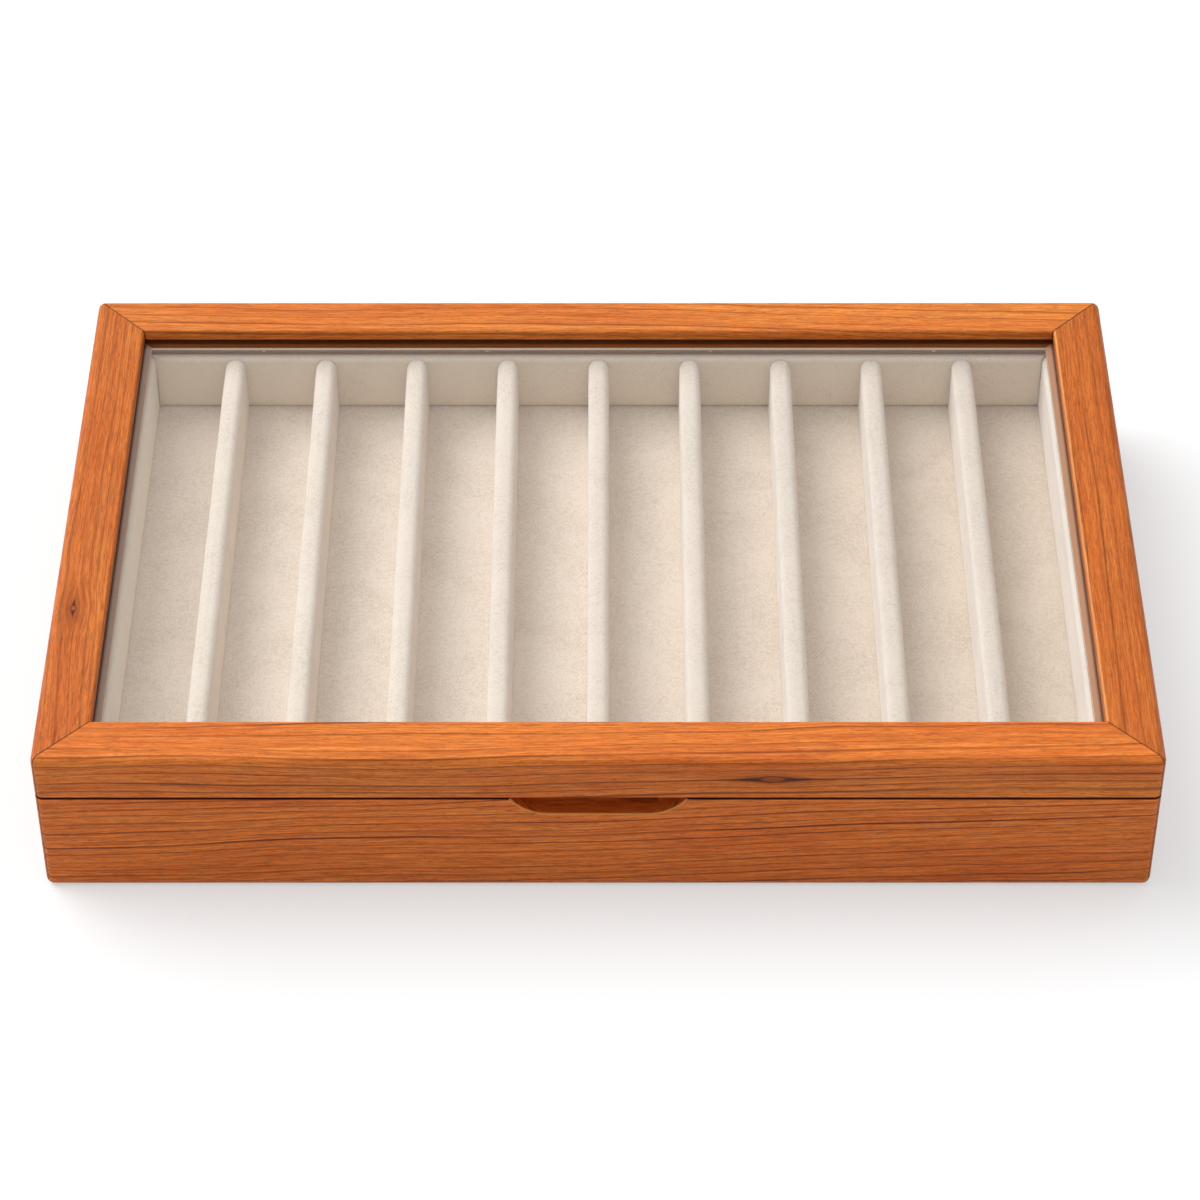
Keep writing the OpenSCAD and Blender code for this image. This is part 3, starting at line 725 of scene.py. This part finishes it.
def spline_wood(c):
    layers = ((((1.8, 1.8, 0.06), 4, 0.6), 0.35, 0.68, 1.0, dim(c.spline_wood, 0.5)),)
    return plain("spline_hardwood", c.spline_wood, layers, 0.0001, 0.3, rough=0.6, specular=0.4)


def plywood(c):
    m = Finish("birch_plywood")
    here = m.place()
    face = m.spread(m.noise(here, (0.02, 0.4, 0.4), 4, 0.6, warp=0.8), 0.35, 0.65)
    line = m.grain(here, 0.05, 1.8, 0.4, 0.7, rough=0.5)
    tone = m.layered(m.mix(face, c.ply_light, c.ply_dark), (line, 0.35, c.ply_dark))
    return m.surface(colour=tone, rough=0.6, specular=0.4, normal=m.bump(line, 0.0001, 0.3))


def metal(name, base, along, rough):
    """Metal with fine brushed lines and slight tarnish."""
    m = Finish(name)
    here = m.place()
    brushed = m.noise(here, along, 3, 0.6)
    cloud = m.noise(here, 0.25, 3, 0.6)
    return m.surface(
        colour=m.mix(m.spread(cloud, 0.4, 0.7, 0.0, 0.6), base, dim(base, 0.72)), metal=1.0,
        rough=m.spread(brushed, 0.3, 0.7, rough - 0.07, rough + 0.09), normal=m.bump(brushed, 0.00004, 0.35),
    )


def clear_glass():
    """Clear glass that lets the lamps' light through."""
    m = Finish("clear_float_glass")
    pane = m.principled(colour=m.colours.glass, rough=0.0, ior=1.5, transmission=1.0)
    rays = m.add("ShaderNodeLightPath").outputs
    passing = m.maths("MAXIMUM", rays["Is Shadow Ray"], rays["Is Diffuse Ray"])
    return m.end(m.both(passing, pane, m.add("ShaderNodeBsdfTransparent")))


# Each board's place and lean in its tree, in millimetres and radians
BOARDS = {
    "case_front": dict(offset=(140, 60, 92), tilt=(0.032, 0.004), tint=(1.06, 1.0, 0.97)),
    "case_right": dict(offset=(-60, 96, 71), tilt=(-0.008, 0.010), tint=(0.82, 0.81, 0.83)),
    "case_back": dict(offset=(410, -80, 88), tilt=(-0.012, -0.006)),
    "case_left": dict(offset=(250, 75, 104), tilt=(0.015, -0.006), tint=(0.82, 0.81, 0.83)),
    "lid_front": dict(offset=(-330, 186, 34), tilt=(0.006, -0.009)),
    "lid_right": dict(offset=(520, 40, 58), tilt=(-0.006, 0.012), lines=0.5, tint=(0.77, 0.71, 0.67)),
    # The back rail's tint whitens it: a painted sheen
    "lid_back": dict(offset=(730, 20, 96), tilt=(-0.004, 0.016), lines=0.7, tint=(1.0, 1.08, 1.16)),
    "lid_left": dict(offset=(-610, 84, 77), tilt=(0.008, -0.014), lines=0.5, tint=(0.84, 0.82, 0.83)),
}
# Pin knots: centre, half the eye's length and height, reach of the bent grain and how strongly it is bent
KNOTS = {
    "lid_front": ((55.4, -116.5, 49.6), 4.6, 1.3, (12.0, 3.0), 0.9),
    "lid_left": ((-172.9, -46.0, 58.3), 1.3, 0.9, (9.0, 4.0), 0.9),
}


def mitre_lines(m, tone):
    """Darkens the glue lines of the mitres."""
    in_x, in_y, z = m.inwards()
    line = m.spread(m.maths("ABSOLUTE", m.minus(in_x, in_y)), 0.15, 0.55, 0.65, 0.0)
    return m.mix(line, tone, m.colours.cherry_fleck_and_shade)


def seam_painted_shade(m, tone):
    """Paints shade on the case's rim in the seam's shadow line."""
    in_x, in_y, z = m.inwards()
    gap, reach = m.sizes.seam_gap / MM, m.sizes.seam_gap_in / MM
    seam = m.spread(m.minus(RIM_Z / MM, z), gap, gap + 0.1, 0.9, 0.0)
    inside = m.spread(m.maths("MINIMUM", in_x, in_y), reach, reach + 0.05, 1.0, 0.0)
    return m.mix(m.times(seam, inside), tone, m.colours.cherry_fleck_and_shade)


def notch_painted_light(m, tone):
    """Paints a highlight along the notch's edge on the wall's face and paints shade in its hollow."""
    r, h, end_x = (v / MM for v in notch_end(m.sizes))
    x, y, z = m.parts()
    past = m.maths("MAXIMUM", m.minus(m.maths("ABSOLUTE", x), end_x), 0.0)
    below = m.minus(z, RIM_Z / MM + r - h)
    outside = m.minus(m.maths("SQRT", m.plus(m.times(past, past), m.times(below, below))), r)
    depth = m.minus(y, FRONT_Y / MM)
    hollow = m.times(m.spread(outside, 0.05, 0.3, 1.0, 0.0), m.spread(depth, 0.5, 0.9))
    edge = m.times(m.bell(m.square(outside, 0.32)), m.spread(depth, 0.5, 0.9, 0.8, 0.0))
    tone = m.mix(hollow, tone, m.tinted(tone, m.colours.notch_painted_shade))
    return m.mix(edge, tone, m.colours.cherry_gold)


def painted_edge_highlight(m, tone):
    """Paints a highlight on the rounded inner edge of the right stile."""
    x, y, z = m.parts()
    edge, top = (HALF.x - FRAME_W) / MM, LID_TOP_Z / MM
    highlight = m.times(m.spread(x, edge + 0.6, edge + 1.0, 0.4, 0.0), m.spread(x, edge, edge + 0.15))
    return m.mix(m.times(highlight, m.spread(z, top - 1.2, top - 0.8)), tone, m.colours.cherry_painted_highlight)


SHADES = {"case_front": [notch_painted_light], "lid_right": [painted_edge_highlight]}


def board_finish(group, side):
    key = f"{group}_{side}"
    shades = SHADES.get(key, []) + [mitre_lines] + ([seam_painted_shade] if group == "case" else [])
    return cherry(f"cherry_{key}", side, knot=KNOTS.get(key), shades=shades, **BOARDS[key])


def bead_finish(side):
    """Pale wood, with painted shade: a dark line where the frame's lip shades it and a dark back bead, and a
    painted highlight above painted shade on the beads' inner faces.
    """

    def bands(m, tone):
        c = m.colours
        in_x, in_y, z = m.inwards()
        height = m.minus(z, BEAD_Z / MM)
        # The back bead's colour is painted shade
        stain_and_shade = {"left": c.bead_grey, "back": c.bead_back_painted_shade}.get(side, c.bead)
        tone = m.mix(m.spread(height, 0.3, 1.5, 0.3, 0.8), tone, stain_and_shade)
        # Painted shade: a dark line beside the frame's lip
        depth = m.minus(m.maths("MINIMUM", in_x, in_y), FRAME_W / MM)
        tone = m.mix(m.spread(depth, 0.1, 0.9, 0.8, 0.0), tone, c.cherry_fleck_and_shade)
        # Painted highlight on the inner faces' upper part, over painted shade below
        face = m.times(m.spread(height, 0.15, 0.4), m.spread(height, 2.75, 2.9, 0.9, 0.0))
        return m.mix(face, tone, m.mix(m.spread(height, 1.75, 2.0), c.bead_shade, c.bead_painted_highlight))

    return cherry(f"pale_bead_{side}", side, shades=[bands], **BOARDS[f"lid_{side}"])


# Wood


def bevel_back(bm, body, sizes):
    """Bevels the back edge that the opened lid stops on."""
    apex = Vector((0, HALF.y - sizes.back_bevel_in, RIM_Z))
    outward = Vector((0, sizes.back_bevel_drop, -FROM_SEAM[body] * sizes.back_bevel_in))
    slice_off(bm, apex, outward.normalized())


def cut_hinges(bm, body, sizes):
    """Lets both hinges into a back member."""
    past, up = 1 * MM, FROM_SEAM[body]
    leaf = [v.co.z for v in mesh_of(f"left_hinge_{body}_leaf").vertices if v.co.y < PIN_Y - 5 * MM]
    depth = max(abs(z - RIM_Z) for z in leaf)
    for end in ("left", "right"):
        start = low(f"{end}_hinge_case_leaf").x - sizes.hinge_clear
        stop = high(f"{end}_hinge_case_leaf").x + sizes.hinge_clear
        zs = sorted((RIM_Z - up * past, RIM_Z + up * depth))
        bm = carve(bm, box_mesh((start, LEAF_Y - sizes.hinge_clear, zs[0]), (stop, HALF.y + past, zs[1])))
        ends = (Vector((x, PIN_Y, RIM_Z)) for x in (start, stop))
        bm = carve(bm, rod_mesh(*ends, sizes.knuckle_room / 2, 48))
    return bm


def notch_end(sizes):
    """The radius of the notch's ends, its height and how far from the middle its ends' arcs are centred."""
    r, h = sizes.notch_r, sizes.notch_h
    return r, h, sizes.notch_w / 2 - math.sqrt(r * r - (r - h) ** 2)


def notch_outline(sizes, grow):
    """Left half of the notch's outline from above the rim to its flat bottom, grown outwards."""
    r, h, end_x = notch_end(sizes)
    q = sizes.notch_lip_r
    lip_rise = r - h + q
    lip_run = math.sqrt((r + q) ** 2 - lip_rise ** 2)
    lean = math.atan2(lip_run, lip_rise)
    points = [(-end_x - lip_run, 10 * MM)]
    for i in range(5):
        a = lean * i / 4
        points.append((-end_x - lip_run + (q - grow) * math.sin(a), -q + (q - grow) * math.cos(a)))
    for i in range(1, 13):
        a = lean * (1 - i / 12)
        points.append((-end_x - (r + grow) * math.sin(a), r - h - (r + grow) * math.cos(a)))
    return points


def notch_cutter(sizes):
    """The finger notch's space, flared at the front edge and hollowed at the back."""
    bm = bmesh.new()
    ease, cove = sizes.notch_ease, sizes.notch_cove_r
    stations = [(-2 * MM, ease)]
    for i in range(5):
        a = QUARTER * i / 4
        stations.append((ease * (1 - math.cos(a)), ease * (1 - math.sin(a))))
    for i in range(9):
        a = QUARTER * i / 8
        stations.append((sizes.notch_in - cove + cove * math.sin(a), -cove * (1 - math.cos(a))))
    loops = []
    for depth, grow in stations:
        left = notch_outline(sizes, grow)
        points = left + [(-x, z) for x, z in reversed(left)]
        verts = [bm.verts.new((x, FRONT_Y + depth, RIM_Z + z)) for x, z in points]
        loops.append([bm.edges.new((verts[i - 1], verts[i])) for i in range(len(verts))])
    for a, b in zip(loops, loops[1:]):
        bmesh.ops.bridge_loops(bm, edges=a + b)
    for end in (loops[0], loops[-1]):
        bmesh.ops.edgeloop_fill(bm, edges=end)
    return bm


def brad_centres(side):
    """Where the brads' heads lie on one side's bead."""
    out = OUTWARD[side]
    face = (HALF.y if out.y else HALF.x) - BEAD_S
    heads = [v.co for v in mesh_of("bead_brads").vertices if near(v.co.dot(out), face, 2e-5)]
    return [(lowest + highest) / 2 for lowest, highest in clusters(heads, ALONG[side], 4 * MM)]


class JEWELBOX_OT_case_walls(bpy.types.Operator):
    """Four mitred cherry walls with rounded corners, the finger notch and the hinge recesses"""

    bl_idname = "jewel_box.case_walls"
    bl_label = "Case walls"

    def execute(self, context):
        sizes = context.scene.jewel_box_sizes
        seam_s, seam_z = sizes.seam_gap_in, RIM_Z - sizes.seam_gap
        groove_s, groove_z = PANEL_S - sizes.groove_out, PANEL_TOP_Z + sizes.groove_up
        bm = ring([
            (0, 0), (0, seam_z), (seam_s, seam_z), (seam_s, RIM_Z), (WALL_T, RIM_Z), (WALL_T, groove_z),
            (groove_s, groove_z), (groove_s, PANEL_Z), (WALL_T, PANEL_Z), (WALL_T, 0),
        ])
        round_edges(bm, outer_edges(bm, 0), sizes.outer_r, 6)
        ease_rims(bm, sizes)
        bevel_back(bm, "case", sizes)

        def work(wall, side):
            if side == "front":
                return carve(wall, notch_cutter(sizes))
            return cut_hinges(wall, "case", sizes) if side == "back" else wall

        finish = lambda side: board_finish("case", side)
        add_members(bm, "case_{}_wall".format, "case", "cherry", finish, work, sizes)
        return {"FINISHED"}


class JEWELBOX_OT_lid_frame(bpy.types.Operator):
    """Four mitred cherry members round the glass"""

    bl_idname = "jewel_box.lid_frame"
    bl_label = "Lid frame"

    def execute(self, context):
        sizes = context.scene.jewel_box_sizes
        seam_s, seam_z = sizes.seam_gap_in, RIM_Z + sizes.seam_gap
        bm = ring([
            (0, seam_z), (0, LID_TOP_Z), (FRAME_W, LID_TOP_Z), (FRAME_W, GLASS_TOP_Z),
            (LID_WALL_S, GLASS_TOP_Z), (LID_WALL_S, RIM_Z), (seam_s, RIM_Z), (seam_s, seam_z),
        ])
        round_edges(bm, outer_edges(bm, LID_TOP_Z), sizes.outer_r, 6)
        round_edges(bm, ring_edges(bm, FRAME_W, LID_TOP_Z), sizes.sight_r, 4)
        round_edges(bm, ring_edges(bm, FRAME_W, GLASS_TOP_Z), sizes.lip_r, 3)
        ease_rims(bm, sizes)
        bevel_back(bm, "lid", sizes)
        finish = lambda side: board_finish("lid", side)
        work = lambda rail, side: cut_hinges(rail, "lid", sizes) if side == "back" else rail
        add_members(bm, LID_MEMBERS.get, "lid", "cherry", finish, work, sizes)
        return {"FINISHED"}


class JEWELBOX_OT_glass_beads(bpy.types.Operator):
    """Four stop beads under the glass, with their brad holes"""

    bl_idname = "jewel_box.glass_beads"
    bl_label = "Glass stop beads"

    def execute(self, context):
        sizes = context.scene.jewel_box_sizes
        bm = ring([(LID_WALL_S, BEAD_Z), (LID_WALL_S, GLASS_Z), (BEAD_S, GLASS_Z), (BEAD_S, BEAD_Z)])
        round_edges(bm, ring_edges(bm, BEAD_S, BEAD_Z), sizes.bead_r, 4)

        def work(bead, side):
            out = OUTWARD[side]
            for centre in brad_centres(side):
                hole = rod_mesh(centre - out * 1 * MM, centre + out * 8 * MM, sizes.brad_d / 2, 20)
                bead = carve(bead, hole)
            return bead

        add_members(bm, "glass_bead_{}".format, "lid", "pale", bead_finish, work, sizes)
        return {"FINISHED"}


class JEWELBOX_OT_glass_pane(bpy.types.Operator):
    """The pane, with polished arrises"""

    bl_idname = "jewel_box.glass_pane"
    bl_label = "Glass pane"

    def execute(self, context):
        bm = box_mesh(*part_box("glass_pane"))
        round_edges(bm, bm.edges[:], context.scene.jewel_box_sizes.glass_arris, 1)
        add_piece(bm, "polished_glass_pane", "lid", clear_glass(), "glass_pane", crease=20)
        return {"FINISHED"}


# Suede. Two tints of painted light are partly over 1, which a colour property can't be.


LINER_PAINTED_LIGHT = (1.0, 1.02, 1.04)
DIVIDER_LEFT_PAINTED_LIGHT = (1.03, 1.09, 1.15)
# Rows of points down the liner's face, and cuts along the box's length and depth
ROWS, CUTS = 8, (90, 56)


class JEWELBOX_OT_liner(bpy.types.Operator):
    """Padded suede over the liner's boards"""

    bl_idname = "jewel_box.liner"
    bl_label = "Suede liner"

    def execute(self, context):
        sizes, c = context.scene.jewel_box_sizes, context.scene.jewel_box_colours
        # Painted light: a warm painted shade on the back and left sides, and painted light on the front and
        # right sides with painted shade on their tops
        warm = suede("suede_liner_painted_shade", 1, 0.0, 0.10, lambda m: c.suede_liner_painted_shade_tint)
        painted_light_tint = lambda m: sided_painted_light(m, 0.0, LINER_PAINTED_LIGHT, LINER_PAINTED_LIGHT, c.suede_hem_painted_shade_tint, LINER_TOP_Z)
        pale = suede("suede_liner_painted_light", 1, 0.0, 0.10, painted_light_tint)
        inner_top, inner_foot = (LINER_IN_S, LINER_TOP_Z), (LINER_IN_S, FLOOR_Z)
        rows = [Vector(inner_top).lerp(Vector(inner_foot), i / ROWS) for i in range(1, ROWS)]
        bm = ring([
            (LINER_S, FLOOR_Z), (LINER_S, LINER_TOP_Z), inner_top, *rows,
            (LINER_IN_S, FLOOR_Z + sizes.tuck_h), inner_foot, (PAD_S, FLOOR_Z), (PAD_S, BOARD_TOP_Z),
            (BOARD_S, BOARD_TOP_Z), (BOARD_S, FLOOR_Z),
        ])
        round_edges(bm, ring_edges(bm, LINER_S, LINER_TOP_Z), sizes.hem_r, 3)
        round_edges(bm, ring_edges(bm, LINER_IN_S, LINER_TOP_Z), sizes.pad_r, 6)
        soft = lambda co: depth_in(co) > PAD_S + 0.4 * MM or co.z > BOARD_TOP_Z + 0.4 * MM
        for i, side in enumerate(SIDES):
            part = member_of(bm, side, sizes.liner_gap, sizes.liner_ease, steps=3)
            divide(part, edges_along(part, ALONG[side]), CUTS[0] if OUTWARD[side].y else CUTS[1])
            uneven(part, sizes.suede_wave, 9 * MM, 2.3 * i, soft)
            for v in part.verts:
                if depth_in(v.co) > PAD_S + 1.2 * MM and v.co.z < FLOOR_Z + 0.2 * MM:
                    v.co += OUTWARD[side] * sizes.tuck_in
            add_padded(part, f"liner_suede_{side}", warm if side in ("back", "left") else pale)
        bm.free()
        return {"FINISHED"}


class JEWELBOX_OT_dividers(bpy.types.Operator):
    """Suede covers over the dividers' cores, with rounded tops and ends"""

    bl_idname = "jewel_box.dividers"
    bl_label = "Divider covers"

    # Equal stretches of a divider's length, and where the rows of points at its ends are drawn to
    STRETCHES = 96
    END_ROWS = (0, 0.25 * MM, 0.9 * MM, 2.0 * MM)

    def execute(self, context):
        for i in range(1, DIVIDERS + 1):
            node = f"divider_cover_{i}"
            bm = self.cover(node, f"divider_core_{i}", 5.7 + i, context.scene.jewel_box_sizes)
            add_padded(bm, node, self.finish(i, (low(node).x + high(node).x) / 2))
        return {"FINISHED"}

    def finish(self, i, middle):
        """Suede with painted light on the left faces, painted shade on the right faces, and painted shade on
        the crown that darkens a little from the third divider to the last.
        """

        def tint(m):
            crown = dim(m.colours.suede_crown_painted_shade_tint, 1 - 0.02 * max(0, i - 3))
            return sided_painted_light(m, middle, DIVIDER_LEFT_PAINTED_LIGHT, m.colours.suede_right_painted_shade_tint, crown, LINER_TOP_Z - 1 * MM)

        return suede(f"suede_divider_{i}", 2 + i, 0.6, 0.06, tint)

    def cover(self, node, core, seed, sizes):
        """A cover that is open below for its core, and uneven outside."""
        (lowest, highest), (core_low, core_high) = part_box(node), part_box(core)
        reach = 0.01 * MM
        in_core = lambda co: core_low.x - reach < co.x < core_high.x + reach and co.z < core_high.z + reach
        bm = bmesh.new()
        section = [
            (lowest.x, lowest.z), (core_low.x, lowest.z), (core_low.x, core_high.z),
            (core_high.x, core_high.z), (core_high.x, lowest.z), (highest.x, lowest.z),
            (highest.x, highest.z), (lowest.x, highest.z),
        ]
        face = bm.faces.new([bm.verts.new((x, lowest.y, z)) for x, z in section])
        swept = bmesh.ops.extrude_face_region(bm, geom=[face])["geom"]
        verts = [g for g in swept if isinstance(g, bmesh.types.BMVert)]
        bmesh.ops.translate(bm, vec=(0, highest.y - lowest.y, 0), verts=verts)
        long_at = lambda z: [e for e in edges_along(bm, Y) if near(e.verts[0].co.z, z)]
        round_edges(bm, long_at(highest.z), sizes.divider_r, 7)
        foot = [e for e in long_at(lowest.z) if not in_core(e.verts[0].co)]
        round_edges(bm, foot, sizes.divider_foot_r, 3)
        divide(bm, edges_along(bm, UP, over=10 * MM), 5)
        divide(bm, edges_along(bm, Y), self.STRETCHES - 1)
        bmesh.ops.recalc_face_normals(bm, faces=bm.faces)
        self.round_ends(bm, lowest, highest, in_core, sizes)
        soft = lambda co: not in_core(co) and co.z > lowest.z + 1 * MM
        uneven(bm, sizes.suede_wave, 7 * MM, seed, soft)
        return bm

    def round_ends(self, bm, lowest, highest, in_core, sizes):
        """Draws the last rows of points together, down and in."""
        middle, step = (lowest.x + highest.x) / 2, (highest.y - lowest.y) / self.STRETCHES
        run, height, narrower = sizes.divider_end_run, sizes.divider_end_h, sizes.divider_end_in
        for v in bm.verts:
            end = min(v.co.y - lowest.y, highest.y - v.co.y)
            if end < (len(self.END_ROWS) - 0.5) * step and not in_core(v.co):
                end = self.END_ROWS[round(end / step)]
                v.co.y = lowest.y + end if v.co.y < 0 else highest.y - end
                fall = 1 - math.sqrt(max(0.0, 1 - (1 - end / run) ** 2))
                high_share = max(0.0, min(1.0, (v.co.z - (highest.z - height)) / height))
                v.co.z -= sizes.divider_end_drop * fall * high_share ** 1.5
                v.co.x = middle + (v.co.x - middle) * (1 - narrower * fall * (0.35 + 0.65 * high_share))


class JEWELBOX_OT_floor_suede(bpy.types.Operator):
    """One sheet of suede over the floor board, slightly uneven"""

    bl_idname = "jewel_box.floor_suede"
    bl_label = "Floor suede"

    def execute(self, context):
        # Painted shade that darkens the floor towards its right end
        def tint(m):
            last_compartment = 146.0
            to_right = m.spread(m.parts()[0], 0.0, last_compartment)
            return m.mix(to_right, (1, 1, 1), m.colours.suede_far_painted_shade_tint)

        piece, flat = add_sheet(
            "floor_suede", "stretched_floor_suede", suede("suede_floor", 7, 0.5, 0.03, tint),
            cuts=(120, 72), grain=11 * MM, seed=1.9, up=True, sizes=context.scene.jewel_box_sizes,
        )
        return {"FINISHED"}


class JEWELBOX_OT_underside(bpy.types.Operator):
    """Brown felt glued under the bottom panel, and the panel's own finish"""

    bl_idname = "jewel_box.underside"
    bl_label = "Underside"

    def execute(self, context):
        c = context.scene.jewel_box_colours
        piece, flat = add_sheet(
            "underside_felt", "glued_underside_felt", felt(c),
            cuts=CUTS, grain=14 * MM, seed=8.4, up=False, sizes=context.scene.jewel_box_sizes,
        )
        dress(["case_bottom_panel"], plywood(c))
        return {"FINISHED"}


def dress(nodes, material):
    """Gives a finish to pieces whose shape comes from the frame."""
    for node in nodes:
        mesh_of(node).materials.clear()
        mesh_of(node).materials.append(material)


class JEWELBOX_OT_hidden_boards(bpy.types.Operator):
    """Finishes of the boards, battens, cores and splines inside"""

    bl_idname = "jewel_box.hidden_boards"
    bl_label = "Boards and splines"

    def execute(self, context):
        c = context.scene.jewel_box_colours
        boards = ["floor_battens", "floor_board"] + [f"liner_board_{side}" for side in SIDES]
        boards += [f"divider_core_{i}" for i in range(1, DIVIDERS + 1)]
        dress(boards, fibreboard(c))
        dress(["case_corner_splines", "lid_corner_splines"], spline_wood(c))
        return {"FINISHED"}


class JEWELBOX_OT_hardware(bpy.types.Operator):
    """Finishes of the hinges, pins, screws and brads"""

    bl_idname = "jewel_box.hardware"
    bl_label = "Hinges and fasteners"

    def execute(self, context):
        c = context.scene.jewel_box_colours
        leaves = [f"{end}_hinge_{body}_leaf" for end in ("left", "right") for body in FROM_SEAM]
        dress(leaves, metal("satin_brass", c.brass, (0.3, 5.0, 5.0), 0.30))
        turned = metal("turned_brass", c.brass, (4.0, 4.0, 0.5), 0.26)
        for body in FROM_SEAM:
            self.screws(body, turned, context.scene.jewel_box_sizes)
        dress(["left_hinge_pin", "right_hinge_pin"], metal("drawn_steel", c.steel, (0.4, 4.0, 4.0), 0.28))
        dress(["bead_brads"], metal("bronzed_steel", c.bronze, (4.0, 4.0, 4.0), 0.55))
        return {"FINISHED"}

    def screws(self, body, finish, sizes):
        """Slots the heads of one body's hinge screws, with the slots along the hinges."""
        node, up = f"{body}_hinge_screws", -FROM_SEAM[body]
        bm = bmesh.new()
        bm.from_mesh(mesh_of(node))
        bmesh.ops.remove_doubles(bm, verts=bm.verts, dist=MERGE)
        face_z = max(v.co.z * up for v in bm.verts)
        half_w, past = sizes.screw_slot_w / 2, 0.2 * MM
        zs = sorted((face_z * up + up * MM, face_z * up - up * sizes.screw_slot_d))
        for lowest, highest in clusters([v.co for v in bm.verts if near(v.co.z * up, face_z)], X, 6 * MM):
            y = (lowest.y + highest.y) / 2
            slot = box_mesh((lowest.x - past, y - half_w, zs[0]), (highest.x + past, y + half_w, zs[1]))
            bm = carve(bm, slot)
        add_piece(bm, f"slotted_{node}", body, finish, node)


class JEWELBOX_OT_stage(bpy.types.Operator):
    """Pale floor, soft light from the upper left and the camera"""

    bl_idname = "jewel_box.stage"
    bl_label = "Stage"

    def execute(self, context):
        scene = context.scene
        s = scene.jewel_box_stage
        scene.view_settings.view_transform = "Standard"
        self.floor(s)
        self.lamp(scene, "key_light", s.key_power, s.key_spread, s.key_side, s.key_height)
        self.lamp(scene, "overhead_light", s.top_power, s.top_spread, 0.0, QUARTER)
        scene.world = bpy.data.worlds.new("studio")
        scene.world.use_nodes = True
        sky = scene.world.node_tree.nodes["Background"].inputs
        sky["Color"].default_value, sky["Strength"].default_value = (1, 1, 1, 1), s.sky
        self.camera(scene, s)
        return {"FINISHED"}

    def floor(self, s):
        """A floor that is white to the camera and less pale to the light that it throws on the box."""
        bm = bmesh.new()
        bmesh.ops.create_grid(bm, x_segments=1, y_segments=1, size=s.floor_reach)
        floor = as_object(bm, "studio_floor")
        m = Finish("pale_floor")
        rays = m.add("ShaderNodeLightPath").outputs
        seen = m.maths("MAXIMUM", rays["Is Camera Ray"], rays["Is Transmission Ray"])
        seen = m.maths("MAXIMUM", seen, rays["Is Glossy Ray"])
        tone = m.mix(seen, dim(m.colours.floor, s.floor_bounce), m.colours.floor)
        cloth = m.principled(colour=tone, rough=1.0, specular=0.0)
        white = m.add("ShaderNodeEmission", {"Color": (1, 1, 1), "Strength": 1.0})
        floor.data.materials.append(m.end(m.both(m.times(seen, s.backdrop_lift), cloth, white)))

    def lamp(self, scene, name, power, spread, side, height):
        data = bpy.data.lights.new(name, "SUN")
        data.energy, data.angle = power, spread
        lamp = bpy.data.objects.new(name, data)
        toward = Matrix.Rotation(side, 3, "Z") @ Vector((0, math.cos(height), math.sin(height)))
        lamp.rotation_euler = toward.to_track_quat("Z", "Y").to_euler()
        lamp.location = toward
        scene.collection.objects.link(lamp)

    def camera(self, scene, s):
        data = bpy.data.cameras.new("camera")
        data.lens, data.sensor_width = s.lens, s.sensor
        data.clip_start, data.clip_end = 0.05, 20.0
        camera = bpy.data.objects.new("camera", data)
        turns = ((s.yaw, "Z"), (QUARTER - s.pitch, "X"), (s.roll, "Z"))
        yaw, pitch, roll = (Matrix.Rotation(turn, 4, axis) for turn, axis in turns)
        camera.matrix_world = Matrix.Translation(s.camera_place) @ yaw @ pitch @ roll
        scene.collection.objects.link(camera)
        scene.camera = camera


STEPS = (
    JEWELBOX_OT_case_walls, JEWELBOX_OT_lid_frame, JEWELBOX_OT_glass_beads, JEWELBOX_OT_glass_pane,
    JEWELBOX_OT_liner, JEWELBOX_OT_dividers, JEWELBOX_OT_floor_suede, JEWELBOX_OT_underside,
    JEWELBOX_OT_hidden_boards, JEWELBOX_OT_hardware, JEWELBOX_OT_stage,
)
GROUPS = {
    "jewel_box_sizes": JewelBoxSizes,
    "jewel_box_colours": JewelBoxColours,
    "jewel_box_stage": JewelBoxStage,
}


class JEWELBOX_PT_build(bpy.types.Panel):
    """Sizes, colours and steps of the jewelry box"""

    bl_label = "Jewelry Box"
    bl_idname = "JEWELBOX_PT_build"
    bl_space_type = "VIEW_3D"
    bl_region_type = "UI"
    bl_category = "Jewelry Box"

    def draw(self, context):
        for step in STEPS:
            self.layout.operator(step.bl_idname)
        for name in GROUPS:
            values = getattr(context.scene, name)
            part = self.layout.box()
            for key in values.__annotations__:
                part.prop(values, key)


KINDS = (*GROUPS.values(), *STEPS, JEWELBOX_PT_build)


def register():
    for kind in KINDS:
        bpy.utils.register_class(kind)
    for name, group in GROUPS.items():
        setattr(bpy.types.Scene, name, bpy.props.PointerProperty(type=group))


def unregister():
    for name in GROUPS:
        delattr(bpy.types.Scene, name)
    for kind in reversed(KINDS):
        bpy.utils.unregister_class(kind)


def main():
    register()
    for step in STEPS:
        group, name = step.bl_idname.split(".")
        getattr(getattr(bpy.ops, group), name)()


if __name__ == "__main__":
    main()
